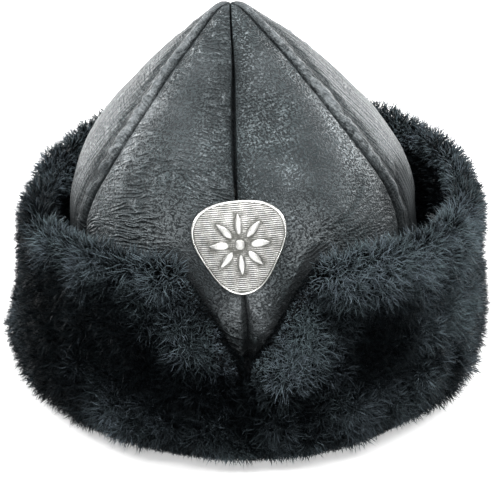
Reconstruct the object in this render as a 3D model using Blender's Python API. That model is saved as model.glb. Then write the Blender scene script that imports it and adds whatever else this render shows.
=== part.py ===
"""Bork hat: a pointed crown of six leather panels in a turned-up fur cuff, with a badge on the front seam.

The hat stands on its cuff, with its front towards -Y. Lengths are in metres. Azimuths are in degrees, from
+X towards +Y. The tables give lengths in millimetres.
"""

import math

import bmesh
import bpy
from mathutils import Matrix, Vector

MM = 0.001
GAP = 0.3 * MM

# Crown: the panels' outer surface
HAT_HEIGHT = 189 * MM
CROWN_HALF_WIDTH = 88 * MM
DEPTH_OVER_WIDTH = 1.08
LEATHER = 2.0 * MM
CROWN_FOOT = 3.8 * MM
APEX_LEAN = -6.1 * MM
FRONT = -90.0

# height and half width of the crown, from its foot to its tip
CROWN_PROFILE = (
    (3.8, 88.0),
    (40.0, 88.0),
    (76.0, 87.6),
    (91.0, 86.6),
    (108.0, 81.8),
    (127.0, 71.0),
    (147.5, 53.3),
    (166.0, 34.8),
    (181.0, 16.0),
    (186.6, 8.0),
    (189.0, 0.0),
)
CROWN_ROWS = (3.8, 30, 56, 77, 90, 101, 112, 123, 136, 149, 162, 173, 182, 186.6, 189)

# seam name, azimuth, side where the folded seam allowance raises a welt: -1 clockwise, 1 anticlockwise
SEAMS = (
    ("front", -90.0, ()),
    ("right", -32.0, (1,)),
    ("back_right", 28.0, (1,)),
    ("back", 90.0, ()),
    ("back_left", 151.0, (-1,)),
    ("left", 210.0, (-1,)),
)
PANEL_NAMES = ("front_right", "right", "back_right", "back_left", "left", "front_left")

# height, depth of the front and back seams' grooves, depth of the other seams' grooves
GROOVE_DEPTHS = (
    (0, 2.6, 1.8),
    (55, 2.8, 1.8),
    (78, 1.3, 1.8),
    (118, 1.3, 2.2),
    (142, 2.8, 2.4),
    (172, 1.8, 1.6),
    (189, 0.6, 0.6),
)
GROOVE_REACH = 5.5 * MM
WELT_RISE = 0.9 * MM
WELT_CENTRE = 3.6 * MM
WELT_HALF_WIDTH = 2.6 * MM
WELT_STARTS, WELT_FULL = 60 * MM, 84 * MM
TIP_FADE_WIDTH = 20 * MM
PANEL_EDGE_SHARES = (0.0, 0.022, 0.05, 0.09, 0.26)

# azimuth, height, reach and depth of the soft dents in the leather
LEATHER_DENTS = (
    (-126, 118, 22, 1.5),
    (-58, 92, 16, 1.2),
    (-75, 146, 14, 0.8),
    (-5, 84, 18, 1.4),
    (170, 96, 24, 1.6),
    (62, 120, 20, 1.2),
)

# Cuff: offsets are measured outwards from the crown's own outline
CUFF_HEIGHT = 101 * MM
HALF_CUFF_STATIONS = 46
RIM_SHIFT = 2.4 * MM
LIP_INSET = 4.3 * MM
LIP_THICKNESS = CROWN_FOOT - GAP
LIP_ROUND = 0.8 * MM
FOOT_ROUND_WIDTH = 22 * MM
FOOT_ROUND_HEIGHT = 21 * MM
RIM_ROUND_HEIGHT = 11 * MM

# height, offset of the cuff's inner wall, offset of its outer wall
CUFF_WALLS = (
    (0, 0.7, 31.2),
    (21, 0.7, 31.2),
    (34, 0.8, 30.6),
    (58, 2.2, 28.4),
    (78, 5.6, 27.2),
    (92, 8.6, 26.2),
    (110, 9.8, 25.2),
)

# azimuth, rise of the rim there
RIM_RISES = ((-150, -2.0), (-60, 1.0), (0, 2.0), (90, 1.0), (180, -1.0))
RIM_RISE_SPREAD = 32.0

NOTCH_RADIUS = 113 * MM
NOTCH_FLOOR = 55 * MM
NOTCH_FLOOR_HALF_WIDTH = 3.0 * MM
NOTCH_SLOPE_RUNS = (29 * MM, 31 * MM)
NOTCH_CREASE_DEPTH = 7 * MM
NOTCH_CREASE_HALF_WIDTH = 5 * MM

# azimuth, height, reach and rise of the lumps and hollows of the fur
FUR_LUMPS = (
    (-118, 66, 24, 3.0),
    (-128, 46, 22, -3.2),
    (-104, 38, 18, 2.6),
    (-78, 44, 18, 3.2),
    (-62, 62, 20, -2.6),
    (-58, 88, 22, 2.6),
    (-40, 40, 24, 2.0),
    (-160, 58, 20, -2.2),
    (-172, 24, 26, 1.6),
    (-8, 60, 20, -1.8),
    (40, 50, 28, 1.8),
    (95, 62, 30, -2.0),
    (140, 44, 30, 1.8),
)
TUFT_RISE = 2.1 * MM
TUFT_LEAN = 1.6 * MM
CROWN_CLEARANCE = 0.7 * MM

# Badge: a rounded triangle, point down, that follows the crown's surface
BADGE_HEIGHT_ON_CROWN = 102 * MM
BADGE_SIDE_SHIFT = -0.8 * MM
BADGE_TURN = 5.0
BADGE_MEAN_RADIUS = 21.8 * MM
BADGE_HARMONICS = ((1, 0.5), (2, 0.42), (3, -2.24), (6, 0.1))
BADGE_THICKNESS = 1.6 * MM
BADGE_SECTORS = 40

# share of the badge's outline, height: from the ground over the rim to the back
BADGE_RINGS = (
    (0.3, 1.6),
    (0.6, 1.6),
    (0.93, 1.6),
    (0.95, 2.1),
    (0.985, 2.1),
    (1.0, 1.7),
    (1.0, 0.3),
    (0.98, 0.0),
    (0.6, 0.0),
    (0.3, 0.0),
)

# Rosette on the badge
PETALS = 8
PETAL_START = 4.4 * MM
PETAL_END = 13.4 * MM
PETAL_HALF_WIDTH = 1.9 * MM
BOSS_RADIUS = 2.6 * MM
BOSS_SIDES = 12

# share of a petal's length, share of its half width
PETAL_SHAPE = ((0.0, 0.0), (0.2, 0.76), (0.45, 1.0), (0.7, 0.74), (0.9, 0.3), (1.0, 0.0))

# scale, height over the badge's ground
RAISED_LEVELS = ((1.0, -0.8), (1.0, 0.4), (0.72, 0.7))

# Post behind the badge
POST_RADIUS = 1.5 * MM
POST_HOLE_RADIUS = 1.9 * MM
FLANGE_RADIUS = 5.0 * MM
FLANGE_THICKNESS = 1.2 * MM
FLANGE_DEPTH = 4.2 * MM
DRILL_LENGTH = 20 * MM

LEATHER_COLOUR = (0.030, 0.032, 0.036, 1)
FUR_COLOUR = (0.012, 0.014, 0.017, 1)
SILVER_COLOUR = (0.62, 0.60, 0.56, 1)


def clear_scene():
    """Removes the objects that a new scene starts with."""
    for obj in list(bpy.data.objects):
        bpy.data.objects.remove(obj)


def material(name, colour, roughness, metallic=0.0):
    """A plain finish in one colour."""
    made = bpy.data.materials.new(name)
    made.use_nodes = True
    shader = made.node_tree.nodes["Principled BSDF"]
    shader.inputs["Base Color"].default_value = colour
    shader.inputs["Roughness"].default_value = roughness
    shader.inputs["Metallic"].default_value = metallic
    return made


def smoothstep(low, high, value):
    """0 up to the low value, 1 from the high one, and a smooth rise between them."""
    share = min(1.0, max(0.0, (value - low) / (high - low)))
    return share * share * (3 - 2 * share)


def table_value(rows, key, column=1):
    """The column of a table in millimetres at the key in metres, on a smooth curve through its rows."""
    keys = [row[0] * MM for row in rows]
    values = [row[column] * MM for row in rows]
    if key <= keys[0]:
        return values[0]
    if key >= keys[-1]:
        return values[-1]
    slopes = [(values[i + 1] - values[i]) / (keys[i + 1] - keys[i]) for i in range(len(keys) - 1)]
    tangents = [slopes[0]]
    for before, after in zip(slopes, slopes[1:]):
        tangents.append(0.0 if before * after <= 0 else 2 * before * after / (before + after))
    tangents.append(slopes[-1])
    i = next(n for n in range(len(slopes)) if key <= keys[n + 1])
    step = keys[i + 1] - keys[i]
    t = (key - keys[i]) / step
    return (
        values[i] * (1 + 2 * t) * (1 - t) ** 2
        + tangents[i] * step * t * (1 - t) ** 2
        + values[i + 1] * t * t * (3 - 2 * t)
        + tangents[i + 1] * step * t * t * (t - 1)
    )


def turn_between(first, second):
    """The signed angle from the first azimuth to the second, from -180 to 180."""
    return (second - first + 180) % 360 - 180


def bell(distance, half_width):
    """1 at no distance, and fading smoothly to about a third at the half width."""
    return math.exp(-((distance / half_width) ** 2))


def bumps(table, azimuth, height, radius):
    """The sum of a table's round bumps at a place on a wall of that radius."""
    total = 0.0
    for bump_azimuth, bump_height, reach, rise in table:
        along = math.radians(turn_between(bump_azimuth, azimuth)) * radius
        up = height - bump_height * MM
        total += rise * MM * bell(math.hypot(along, up), 0.6 * reach * MM)
    return total


def axis_shift(height):
    """How far the crown's middle line has leant sideways at a height."""
    return APEX_LEAN * (height / HAT_HEIGHT) ** 2


def crown_point(azimuth, height, inset=0.0):
    """A point on the crown's smooth outer surface, moved inwards along the profile's normal."""
    half_width = table_value(CROWN_PROFILE, height)
    step = 0.5 * MM
    low, high = max(CROWN_FOOT, height - step), min(HAT_HEIGHT, height + step)
    slope = (table_value(CROWN_PROFILE, high) - table_value(CROWN_PROFILE, low)) / (high - low)
    length = math.hypot(1, slope)
    reach = max(0.0, half_width - inset / length)
    down = inset * -slope / length
    if height >= HAT_HEIGHT:
        reach, down = 0.0, inset
    angle = math.radians(azimuth)
    return Vector(
        (
            axis_shift(height) + reach * math.cos(angle),
            (half_width * DEPTH_OVER_WIDTH - (half_width - reach)) * math.sin(angle) if reach else 0.0,
            height - down,
        )
    )


def seam_relief(distance, groove, welt):
    """How far the leather lies inside the smooth surface, at a distance from a seam."""
    inset = groove * max(0.0, 1 - distance / GROOVE_REACH) ** 2
    return inset - welt * bell(distance - WELT_CENTRE, WELT_HALF_WIDTH)


def seam_shift(span):
    """How far a panel of that span moves out along its middle to leave half a gap at each of its seams."""
    return GAP / 2 / math.sin(math.radians(span / 2))


def panel_relief(panel, share, height):
    """The panel's inset at a share of the way from its first seam to its second."""
    first, second = SEAMS[panel], SEAMS[(panel + 1) % len(SEAMS)]
    span = (second[1] - first[1]) % 360
    half_width = table_value(CROWN_PROFILE, height)
    width = math.radians(span) * half_width
    fade = smoothstep(0, TIP_FADE_WIDTH, half_width)
    inset = 0.0
    for seam, distance, side in ((first, share * width, 1), (second, (1 - share) * width, -1)):
        column = 1 if seam[0] in ("front", "back") else 2
        groove = table_value(GROOVE_DEPTHS, height, column)
        welt = WELT_RISE * smoothstep(WELT_STARTS, WELT_FULL, height) if side in seam[2] else 0.0
        inset += fade * seam_relief(distance, groove, welt)
    azimuth = first[1] + share * span
    return inset + fade * (seam_shift(span) + bumps(LEATHER_DENTS, azimuth, height, half_width))


def panel_mesh(panel):
    """A closed leather panel: an outer and an inner skin joined along the two seams and the foot."""
    first, second = SEAMS[panel][1], SEAMS[(panel + 1) % len(SEAMS)][1]
    span = (second - first) % 360
    middle = math.radians(first + span / 2)
    apart = Vector((math.cos(middle), math.sin(middle), 0)) * seam_shift(span)
    shares = [*PANEL_EDGE_SHARES, 0.5, *[1 - s for s in reversed(PANEL_EDGE_SHARES)]]
    mesh = bmesh.new()
    skins = []
    for wall in (0.0, LEATHER):
        rows = []
        for height in [h * MM for h in CROWN_ROWS[:-1]]:
            row = []
            for share in shares:
                inset = wall + panel_relief(panel, share, height)
                row.append(mesh.verts.new(crown_point(first + share * span, height, inset) + apart))
            rows.append(row)
        tip = mesh.verts.new(crown_point(first, HAT_HEIGHT, wall) + apart)
        skins.append((rows, tip))
    for (rows, tip), outside in zip(skins, (True, False)):
        faces = [
            (low[i], low[i + 1], high[i + 1], high[i])
            for low, high in zip(rows, rows[1:])
            for i in range(len(shares) - 1)
        ]
        faces += [(rows[-1][i], rows[-1][i + 1], tip) for i in range(len(shares) - 1)]
        for face in faces:
            mesh.faces.new(face if outside else face[::-1])
    (outer, outer_tip), (inner, inner_tip) = skins
    for side in (0, -1):
        outer_edge = [row[side] for row in outer] + [outer_tip]
        inner_edge = [row[side] for row in inner] + [inner_tip]
        for i in range(len(outer_edge) - 1):
            mesh.faces.new((outer_edge[i], outer_edge[i + 1], inner_edge[i + 1], inner_edge[i]))
    for i in range(len(shares) - 1):
        mesh.faces.new((outer[0][i + 1], outer[0][i], inner[0][i], inner[0][i + 1]))
    bmesh.ops.recalc_face_normals(mesh, faces=mesh.faces)
    return mesh


def object_from(mesh, name, finish, sharp_angle=40):
    """An object in the scene with the mesh and finish, shaded smooth up to the sharp angle."""
    data = bpy.data.meshes.new(name)
    mesh.to_mesh(data)
    mesh.free()
    data.materials.append(finish)
    data.shade_smooth()
    data.set_sharp_from_angle(angle=math.radians(sharp_angle))
    made = bpy.data.objects.new(name, data)
    bpy.context.scene.collection.objects.link(made)
    return made


def station_turns():
    """How far each of a half cuff's stations is turned from the front. They crowd together at the notch."""
    samples, crowding, spread = 720, 1.7, 20.0
    turns = [180.0 * n / samples for n in range(samples)]
    weights = [1 + crowding * bell(turn, spread) for turn in turns]
    stations, passed = [], 0.0
    for turn, weight in zip(turns, weights):
        if passed >= len(stations) * sum(weights) / HALF_CUFF_STATIONS:
            stations.append(turn)
        passed += weight
    return [*stations, 180.0]


def notch_distance(azimuth):
    """The signed distance along the cuff from the middle of its front notch."""
    return math.radians(turn_between(FRONT, azimuth)) * NOTCH_RADIUS


def rim_height(azimuth):
    """The height of the cuff's rim, with the notch taken out of it."""
    full = CUFF_HEIGHT
    for rise_azimuth, rise in RIM_RISES:
        full += rise * MM * bell(turn_between(rise_azimuth, azimuth), RIM_RISE_SPREAD)
    distance = notch_distance(azimuth)
    share = (abs(distance) - NOTCH_FLOOR_HALF_WIDTH) / NOTCH_SLOPE_RUNS[distance > 0]
    ramp = 0.4 * smoothstep(0, 1, share) + 0.6 * min(1.0, max(0.0, share))
    return NOTCH_FLOOR + (full - NOTCH_FLOOR) * ramp


def cuff_section(azimuth):
    """The cuff's closed section, as (offset, height, furred) points from the lip out and over the rim."""
    shoulder = rim_height(azimuth) - RIM_ROUND_HEIGHT
    crease = NOTCH_CREASE_DEPTH * bell(notch_distance(azimuth), NOTCH_CREASE_HALF_WIDTH)
    foot_offset = table_value(CUFF_WALLS, 0, 2) - FOOT_ROUND_WIDTH
    points = [(offset, 0.0, False) for offset in (LIP_ROUND - LIP_INSET, foot_offset / 2, foot_offset)]
    for turn in (25, 50, 72, 90):
        angle = math.radians(turn)
        out = foot_offset + FOOT_ROUND_WIDTH * math.sin(angle)
        points.append((out, FOOT_ROUND_HEIGHT * (1 - math.cos(angle)), turn > 25))

    def outer(height):
        fade = smoothstep(20 * MM, 46 * MM, height)
        return table_value(CUFF_WALLS, height, 2) - crease * fade

    def inner(height):
        return table_value(CUFF_WALLS, height, 1)

    for share in (0.2, 0.4, 0.6, 0.8, 1.0):
        height = FOOT_ROUND_HEIGHT + (shoulder - FOOT_ROUND_HEIGHT) * share
        points.append((outer(height), height, True))
    middle = (outer(shoulder) + inner(shoulder)) / 2
    half = (outer(shoulder) - inner(shoulder)) / 2
    for turn in (35, 65, 95, 125, 152, 180):
        angle = math.radians(turn)
        height = shoulder + RIM_ROUND_HEIGHT * math.sin(angle)
        points.append((middle + half * math.cos(angle), height, True))
    for share in (0.8, 0.55, 0.28, 0.06):
        height = LIP_THICKNESS + (shoulder - LIP_THICKNESS) * share
        points.append((inner(height), height, False))
    points += [
        (inner(0), LIP_THICKNESS, False),
        (-LIP_INSET * 0.5, LIP_THICKNESS, False),
        (-LIP_INSET, LIP_THICKNESS - LIP_ROUND, False),
        (-LIP_INSET, LIP_ROUND, False),
    ]
    return points


def cuff_point(azimuth, offset, height):
    """A point at an offset from the crown's outline. The cuff leans sideways a little towards its rim."""
    angle = math.radians(azimuth)
    lean = RIM_SHIFT * smoothstep(25 * MM, CUFF_HEIGHT, height) * smoothstep(1 * MM, 6 * MM, offset)
    offset += lean * math.cos(angle)
    return Vector(
        (
            (CROWN_HALF_WIDTH + offset) * math.cos(angle),
            (CROWN_HALF_WIDTH * DEPTH_OVER_WIDTH + offset) * math.sin(angle),
            height,
        )
    )


def scatter(station, row, salt):
    """A fixed number from -1 to 1 for one tuft, unlike its neighbours'."""
    wave = math.sin(station * 12.9898 + row * 78.233 + salt * 37.719) * 43758.5453
    return 2 * (wave - math.floor(wave)) - 1


def cuff_half_mesh(side):
    """Half of the fur cuff, from the front crease to the back seam: side 1 is at +X, and side -1 at -X.

    Every second point of its furred skin is the tip of a lock.
    """
    mesh = bmesh.new()
    rings = []
    for station, turn in enumerate(station_turns()):
        azimuth = FRONT + side * turn
        section = cuff_section(azimuth)
        ring = []
        for row, (offset, height, furred) in enumerate(section):
            sway = 0.0
            if furred:
                before, after = section[row - 1], section[row + 1]
                normal = Vector((after[1] - before[1], before[0] - after[0])).normalized()
                rise = bumps(FUR_LUMPS, azimuth, height, CROWN_HALF_WIDTH + offset)
                if (station + row) % 2 == 0 and 0 < station < HALF_CUFF_STATIONS:
                    lengths, sways, drops = [scatter(side * station, row, salt) for salt in (1, 2, 3)]
                    rise += TUFT_RISE * (1 + 0.4 * lengths)
                    sway = math.degrees(TUFT_LEAN * sways / CROWN_HALF_WIDTH)
                    height += TUFT_LEAN * normal.x * (drops - 0.4)
                offset = max(CROWN_CLEARANCE, offset + rise * normal.x)
                height = max(0.0, height + rise * normal.y)
            place = cuff_point(azimuth + sway, offset, height) + Vector((side * GAP / 2, 0, 0))
            ring.append(mesh.verts.new(place))
        rings.append(ring)
    rows = len(rings[0])
    for station in range(HALF_CUFF_STATIONS):
        here, there = rings[station], rings[station + 1]
        for row in range(rows):
            above = (row + 1) % rows
            if (station + row) % 2 == 0:
                mesh.faces.new((here[row], there[row], here[above]))
                mesh.faces.new((there[row], there[above], here[above]))
            else:
                mesh.faces.new((here[row], there[row], there[above]))
                mesh.faces.new((here[row], there[above], here[above]))
    mesh.faces.new(rings[0])
    mesh.faces.new(rings[-1])
    bmesh.ops.recalc_face_normals(mesh, faces=mesh.faces)
    return mesh


def badge_frame():
    """The badge's centre on the crown, its sideways and upward directions and its outward normal."""
    low, centre, high = [crown_point(FRONT, BADGE_HEIGHT_ON_CROWN + step * MM) for step in (-8, 0, 8)]
    centre.x += BADGE_SIDE_SHIFT
    up = Vector((0, high.y - low.y, high.z - low.z)).normalized()
    side = Vector((1, 0, 0))
    return centre, side, up, side.cross(up)


def crown_depth_at(x, z):
    """The depth, along Y, of the crown's smooth front surface at a sideways place and height."""
    half_width = table_value(CROWN_PROFILE, z)
    share = (x - axis_shift(z)) / half_width
    return -half_width * DEPTH_OVER_WIDTH * math.sqrt(max(0.0, 1 - share * share))


def badge_point(across, up, out):
    """A point of the badge, from its flat drawing to its domed place over the crown."""
    turn = math.radians(BADGE_TURN)
    side_shift = across * math.cos(turn) - up * math.sin(turn)
    up_shift = across * math.sin(turn) + up * math.cos(turn)
    centre, side, upward, normal = badge_frame()
    spot = centre + side * side_shift + upward * up_shift
    for _ in range(8):
        spot += normal * ((crown_depth_at(spot.x, spot.z) - spot.y) * normal.y)
    return spot + normal * (GAP + out)


def badge_radius(angle):
    """The badge's outline: its radius at an angle from its top."""
    return BADGE_MEAN_RADIUS + sum(size * MM * math.cos(order * angle) for order, size in BADGE_HARMONICS)


def badge_plate():
    """The domed plate with its raised rim, as rings scaled from the outline."""
    mesh = bmesh.new()
    loops = []
    for share, out in BADGE_RINGS:
        loop = []
        for sector in range(BADGE_SECTORS):
            angle = math.tau * sector / BADGE_SECTORS
            radius = badge_radius(angle) * share
            place = badge_point(-radius * math.sin(angle), radius * math.cos(angle), out * MM)
            loop.append(mesh.verts.new(place))
        loops.append(loop)
    front = mesh.verts.new(badge_point(0, 0, BADGE_THICKNESS))
    back = mesh.verts.new(badge_point(0, 0, 0))
    for i in range(BADGE_SECTORS):
        j = (i + 1) % BADGE_SECTORS
        mesh.faces.new((front, loops[0][i], loops[0][j]))
        mesh.faces.new((back, loops[-1][j], loops[-1][i]))
        for inner, outer in zip(loops, loops[1:]):
            mesh.faces.new((inner[i], outer[i], outer[j], inner[j]))
    bmesh.ops.recalc_face_normals(mesh, faces=mesh.faces)
    return mesh


def raised_shape(outline):
    """A closed shape with a smaller top, on the badge, from a flat outline of (across, up) points."""
    mesh = bmesh.new()
    middle = sum((Vector(point) for point in outline), Vector((0, 0))) / len(outline)
    loops, hubs = [], []
    for scale, height in RAISED_LEVELS:
        out = BADGE_THICKNESS + height * MM
        spots = [middle + (Vector(point) - middle) * scale for point in outline]
        loops.append([mesh.verts.new(badge_point(spot.x, spot.y, out)) for spot in spots])
        hubs.append(badge_point(middle.x, middle.y, out))
    for i in range(len(outline)):
        j = (i + 1) % len(outline)
        for low, high in zip(loops, loops[1:]):
            mesh.faces.new((low[i], low[j], high[j], high[i]))
    for loop, place in ((loops[0], hubs[0]), (loops[-1], hubs[-1])):
        hub = mesh.verts.new(place)
        for i in range(len(outline)):
            mesh.faces.new((hub, loop[i], loop[(i + 1) % len(outline)]))
    bmesh.ops.recalc_face_normals(mesh, faces=mesh.faces)
    return mesh


def petal_outline(turn):
    """A slender leaf pointing away from the badge's middle, up one side of it and back down the other."""
    sides = [(share, half) for share, half in PETAL_SHAPE]
    sides += [(share, -half) for share, half in reversed(PETAL_SHAPE[1:-1])]
    along, across = Vector((math.cos(turn), math.sin(turn))), Vector((-math.sin(turn), math.cos(turn)))
    along *= PETAL_END - PETAL_START
    across *= PETAL_HALF_WIDTH
    start = Vector((math.cos(turn), math.sin(turn))) * PETAL_START
    return [start + along * share + across * half for share, half in sides]


def boss_outline():
    """The round boss in the middle of the rosette."""
    turns = [math.tau * side / BOSS_SIDES for side in range(BOSS_SIDES)]
    return [Vector((math.cos(turn), math.sin(turn))) * BOSS_RADIUS for turn in turns]


def join_by_boolean(target, others, operation):
    """Applies a Boolean of each other object to the target, then removes the others."""
    for other in others:
        change = target.modifiers.new(operation.lower(), "BOOLEAN")
        change.operation = operation
        change.object = other
    graph = bpy.context.evaluated_depsgraph_get()
    made = bpy.data.meshes.new_from_object(target.evaluated_get(graph))
    target.modifiers.clear()
    target.data = made
    for other in others:
        bpy.data.objects.remove(other)


def make_badge(silver):
    """The badge's plate with the rosette joined to it."""
    plate = object_from(badge_plate(), "badge", silver)
    outlines = [petal_outline(math.tau * i / PETALS) for i in range(PETALS)] + [boss_outline()]
    raised = [object_from(raised_shape(o), f"raised_{i}", silver) for i, o in enumerate(outlines)]
    join_by_boolean(plate, raised, "UNION")
    return plate


def along_badge_normal(depth):
    """The place and turn of a cylinder that lies on the badge's axis, at a depth behind its back."""
    centre, side, up, normal = badge_frame()
    turn = Matrix((side, up, normal)).transposed().to_4x4()
    return Matrix.Translation(centre - normal * depth) @ turn


def cylinder(radius, length, middle_depth, segments=24):
    """A solid cylinder on the badge's axis, with its middle at a depth behind the badge's back."""
    mesh = bmesh.new()
    bmesh.ops.create_cone(
        mesh,
        cap_ends=True,
        segments=segments,
        radius1=radius,
        radius2=radius,
        depth=length,
        matrix=along_badge_normal(middle_depth),
    )
    return mesh


def make_badge_post(silver):
    """The hidden pin behind the badge, with the flange that holds it inside the crown."""
    flange_middle = FLANGE_DEPTH + FLANGE_THICKNESS / 2
    post = object_from(cylinder(POST_RADIUS, flange_middle, flange_middle / 2, 16), "badge_post", silver)
    flange = object_from(cylinder(FLANGE_RADIUS, FLANGE_THICKNESS, flange_middle), "flange", silver)
    join_by_boolean(post, [flange], "UNION")
    return post


def make_crown(leather):
    """The six panels, with the hole for the badge's post cut through the two at the front."""
    for panel, name in enumerate(PANEL_NAMES):
        made = object_from(panel_mesh(panel), f"crown_panel_{name}", leather, 50)
        if name.startswith("front"):
            drill = object_from(cylinder(POST_HOLE_RADIUS, DRILL_LENGTH, FLANGE_DEPTH / 2), "drill", leather)
            join_by_boolean(made, [drill], "DIFFERENCE")


def build():
    """Makes the whole hat in an empty scene."""
    clear_scene()
    leather = material("leather", LEATHER_COLOUR, 0.42)
    fur = material("fur", FUR_COLOUR, 0.85)
    silver = material("silver", SILVER_COLOUR, 0.38, metallic=1.0)
    make_crown(leather)
    object_from(cuff_half_mesh(-1), "fur_cuff_left", fur, 25)
    object_from(cuff_half_mesh(1), "fur_cuff_right", fur, 25)
    make_badge(silver)
    make_badge_post(silver)


build()
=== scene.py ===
import math

import bpy
import numpy as np
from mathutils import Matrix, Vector, noise


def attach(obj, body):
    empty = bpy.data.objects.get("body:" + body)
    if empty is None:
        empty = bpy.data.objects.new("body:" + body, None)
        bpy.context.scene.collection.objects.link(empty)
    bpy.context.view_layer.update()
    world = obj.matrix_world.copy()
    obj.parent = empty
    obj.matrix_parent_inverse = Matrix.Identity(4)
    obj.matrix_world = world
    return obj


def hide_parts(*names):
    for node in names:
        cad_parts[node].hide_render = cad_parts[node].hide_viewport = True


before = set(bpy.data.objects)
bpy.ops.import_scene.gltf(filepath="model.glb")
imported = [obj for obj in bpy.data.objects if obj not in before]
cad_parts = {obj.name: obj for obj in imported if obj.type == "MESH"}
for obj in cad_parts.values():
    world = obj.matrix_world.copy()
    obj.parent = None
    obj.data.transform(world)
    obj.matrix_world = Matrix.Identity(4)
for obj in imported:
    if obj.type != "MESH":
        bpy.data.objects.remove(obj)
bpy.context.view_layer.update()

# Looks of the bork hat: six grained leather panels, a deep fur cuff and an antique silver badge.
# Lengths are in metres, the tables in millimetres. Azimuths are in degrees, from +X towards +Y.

MM = 0.001

# Crown, as the solids have it
HAT_HEIGHT = 189 * MM
CROWN_HALF_WIDTH = 88 * MM
DEPTH_OVER_WIDTH = 1.08
LEATHER = 2.0 * MM
CROWN_FOOT = 3.8 * MM
APEX_LEAN = -6.1 * MM
TIP_LEAN = -1.4 * MM
TIP_LEAN_STARTS = 165 * MM
FRONT = -90.0

# height and half width of the crown, from its foot to its tip
CROWN_PROFILE = (
    (3.8, 88.0),
    (40.0, 88.0),
    (76.0, 87.6),
    (91.0, 86.6),
    (108.0, 81.8),
    (127.0, 71.0),
    (147.5, 53.3),
    (166.0, 34.8),
    (181.0, 16.0),
    (186.6, 8.0),
    (189.0, 0.0),
)

# seam name, azimuth, side where the folded seam allowance raises a welt: -1 clockwise, 1 anticlockwise
SEAMS = (
    ("front", -90.0, ()),
    ("right", -32.0, (1,)),
    ("back_right", 28.0, (1,)),
    ("back", 90.0, ()),
    ("back_left", 151.0, (-1,)),
    ("left", 210.0, (-1,)),
)

# height, turn of the front, the right and the left seam away from their azimuths there
SEAM_TURNS = (
    (0, 1.1, 4.4, -4.0),
    (56, 1.1, 4.4, -4.0),
    (78, 0.1, 4.4, -4.0),
    (92, -0.6, 4.4, -3.6),
    (108, -1.1, 4.0, -0.8),
    (118, -1.4, 2.6, 1.4),
    (130, -1.7, 0.6, 3.0),
    (148, -2.2, -1.6, 3.6),
    (162, -2.0, -2.8, 3.2),
    (176, -1.2, -2.4, 2.6),
    (189, 0.0, -1.6, 1.6),
)
TURN_COLUMNS = {"front": 1, "right": 2, "left": 3}

# panel name, spacing of its surface points, height where the spacing starts to be that fine
PANELS = (
    ("front_right", 1.05, 48),
    ("right", 1.35, 78),
    ("back_right", 1.8, 78),
    ("back_left", 1.8, 78),
    ("left", 1.35, 78),
    ("front_left", 1.05, 48),
)
HIDDEN_SPACING = 5.0 * MM
INNER_STEP = 4
COLUMN_CROWDING = 0.78

# height, depth of the front and back seams' grooves, depth of the other seams' grooves
GROOVE_DEPTHS = (
    (0, 2.6, 1.8),
    (55, 2.8, 1.8),
    (78, 1.3, 1.8),
    (118, 1.3, 1.5),
    (142, 2.0, 1.6),
    (172, 1.5, 1.1),
    (189, 0.6, 0.6),
)
GROOVE_REACH = 5.5 * MM
WELT_RISE = 1.0 * MM
WELTED_GROOVE_SHARE = 0.45
WELT_CENTRE = 3.7 * MM
WELT_HALF_WIDTH = 2.3 * MM
WELT_VALLEY = 9.0 * MM
WELT_VALLEY_SHARE = 0.7
WELT_LUMP_SIZE, WELT_LUMP_SHARE = 5 * MM, 0.6
# painted highlight in beads along the welts' tops, and painted shade in the valley beside them
WELT_SHINE_STARTS, WELT_SHINE_FULL = 92 * MM, 108 * MM
WELT_SHINE_HALF_WIDTH = 1.9 * MM
WELT_SHINE_CENTRE, WELT_DARK_CENTRE = 2.8 * MM, 7.4 * MM
WELT_BEAD_SIZE = 1.6 * MM
WELT_SHINE, WELT_BEAD_SHINE, WELT_VALLEY_PAINTED_SHADE = 0.9, 0.7, 1.1
PUCKER_SIZE, PUCKER_DEPTH, PUCKER_STRETCH = 3.2 * MM, 0.55 * MM, 0.45
PUCKER_CENTRE, PUCKER_HALF_WIDTH = 4.4 * MM, 3.6 * MM
PUCKER_SHARE, WELTED_PUCKER_SHARE = 0.6, 1.3
SURFACE_LUMP_SIZE, SURFACE_LUMP_RISE = 16 * MM, 0.24 * MM
PUFF_DEPTH = 1.1 * MM
PUFF_REACH = 14 * MM
WELT_STARTS, WELT_FULL = 60 * MM, 84 * MM
TIP_FADE_WIDTH = 10 * MM
TIP_RISE, TIP_RISE_PLACE, TIP_RISE_HALF_WIDTH = 0.7 * MM, 4.5 * MM, 4 * MM
TIP_SINK = 1.0 * MM

# height, half width of the front and back seams' slits, half width of the other seams' slits
SLITS = (
    (0, 1.6, 0.4),
    (62, 2.6, 0.4),
    (74, 1.6, 0.4),
    (86, 0.5, 0.4),
    (112, 0.5, 0.5),
    (126, 0.9, 0.5),
    (141, 1.4, 0.5),
    (155, 1.2, 0.55),
    (168, 0.8, 0.55),
    (184, 0.5, 0.5),
    (189, 0.3, 0.3),
)
SLIT_DEPTHS = (5.5 * MM, 2.4 * MM)

# azimuth, height, reach and depth of the soft dents in the leather
LEATHER_DENTS = (
    (-126, 118, 22, 1.5),
    (-58, 92, 16, 1.2),
    (-75, 146, 14, 0.8),
    (-5, 84, 18, 1.4),
    (-85, 62, 9, -1.4),
    (170, 96, 24, 1.6),
    (62, 120, 20, 1.2),
)

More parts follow.
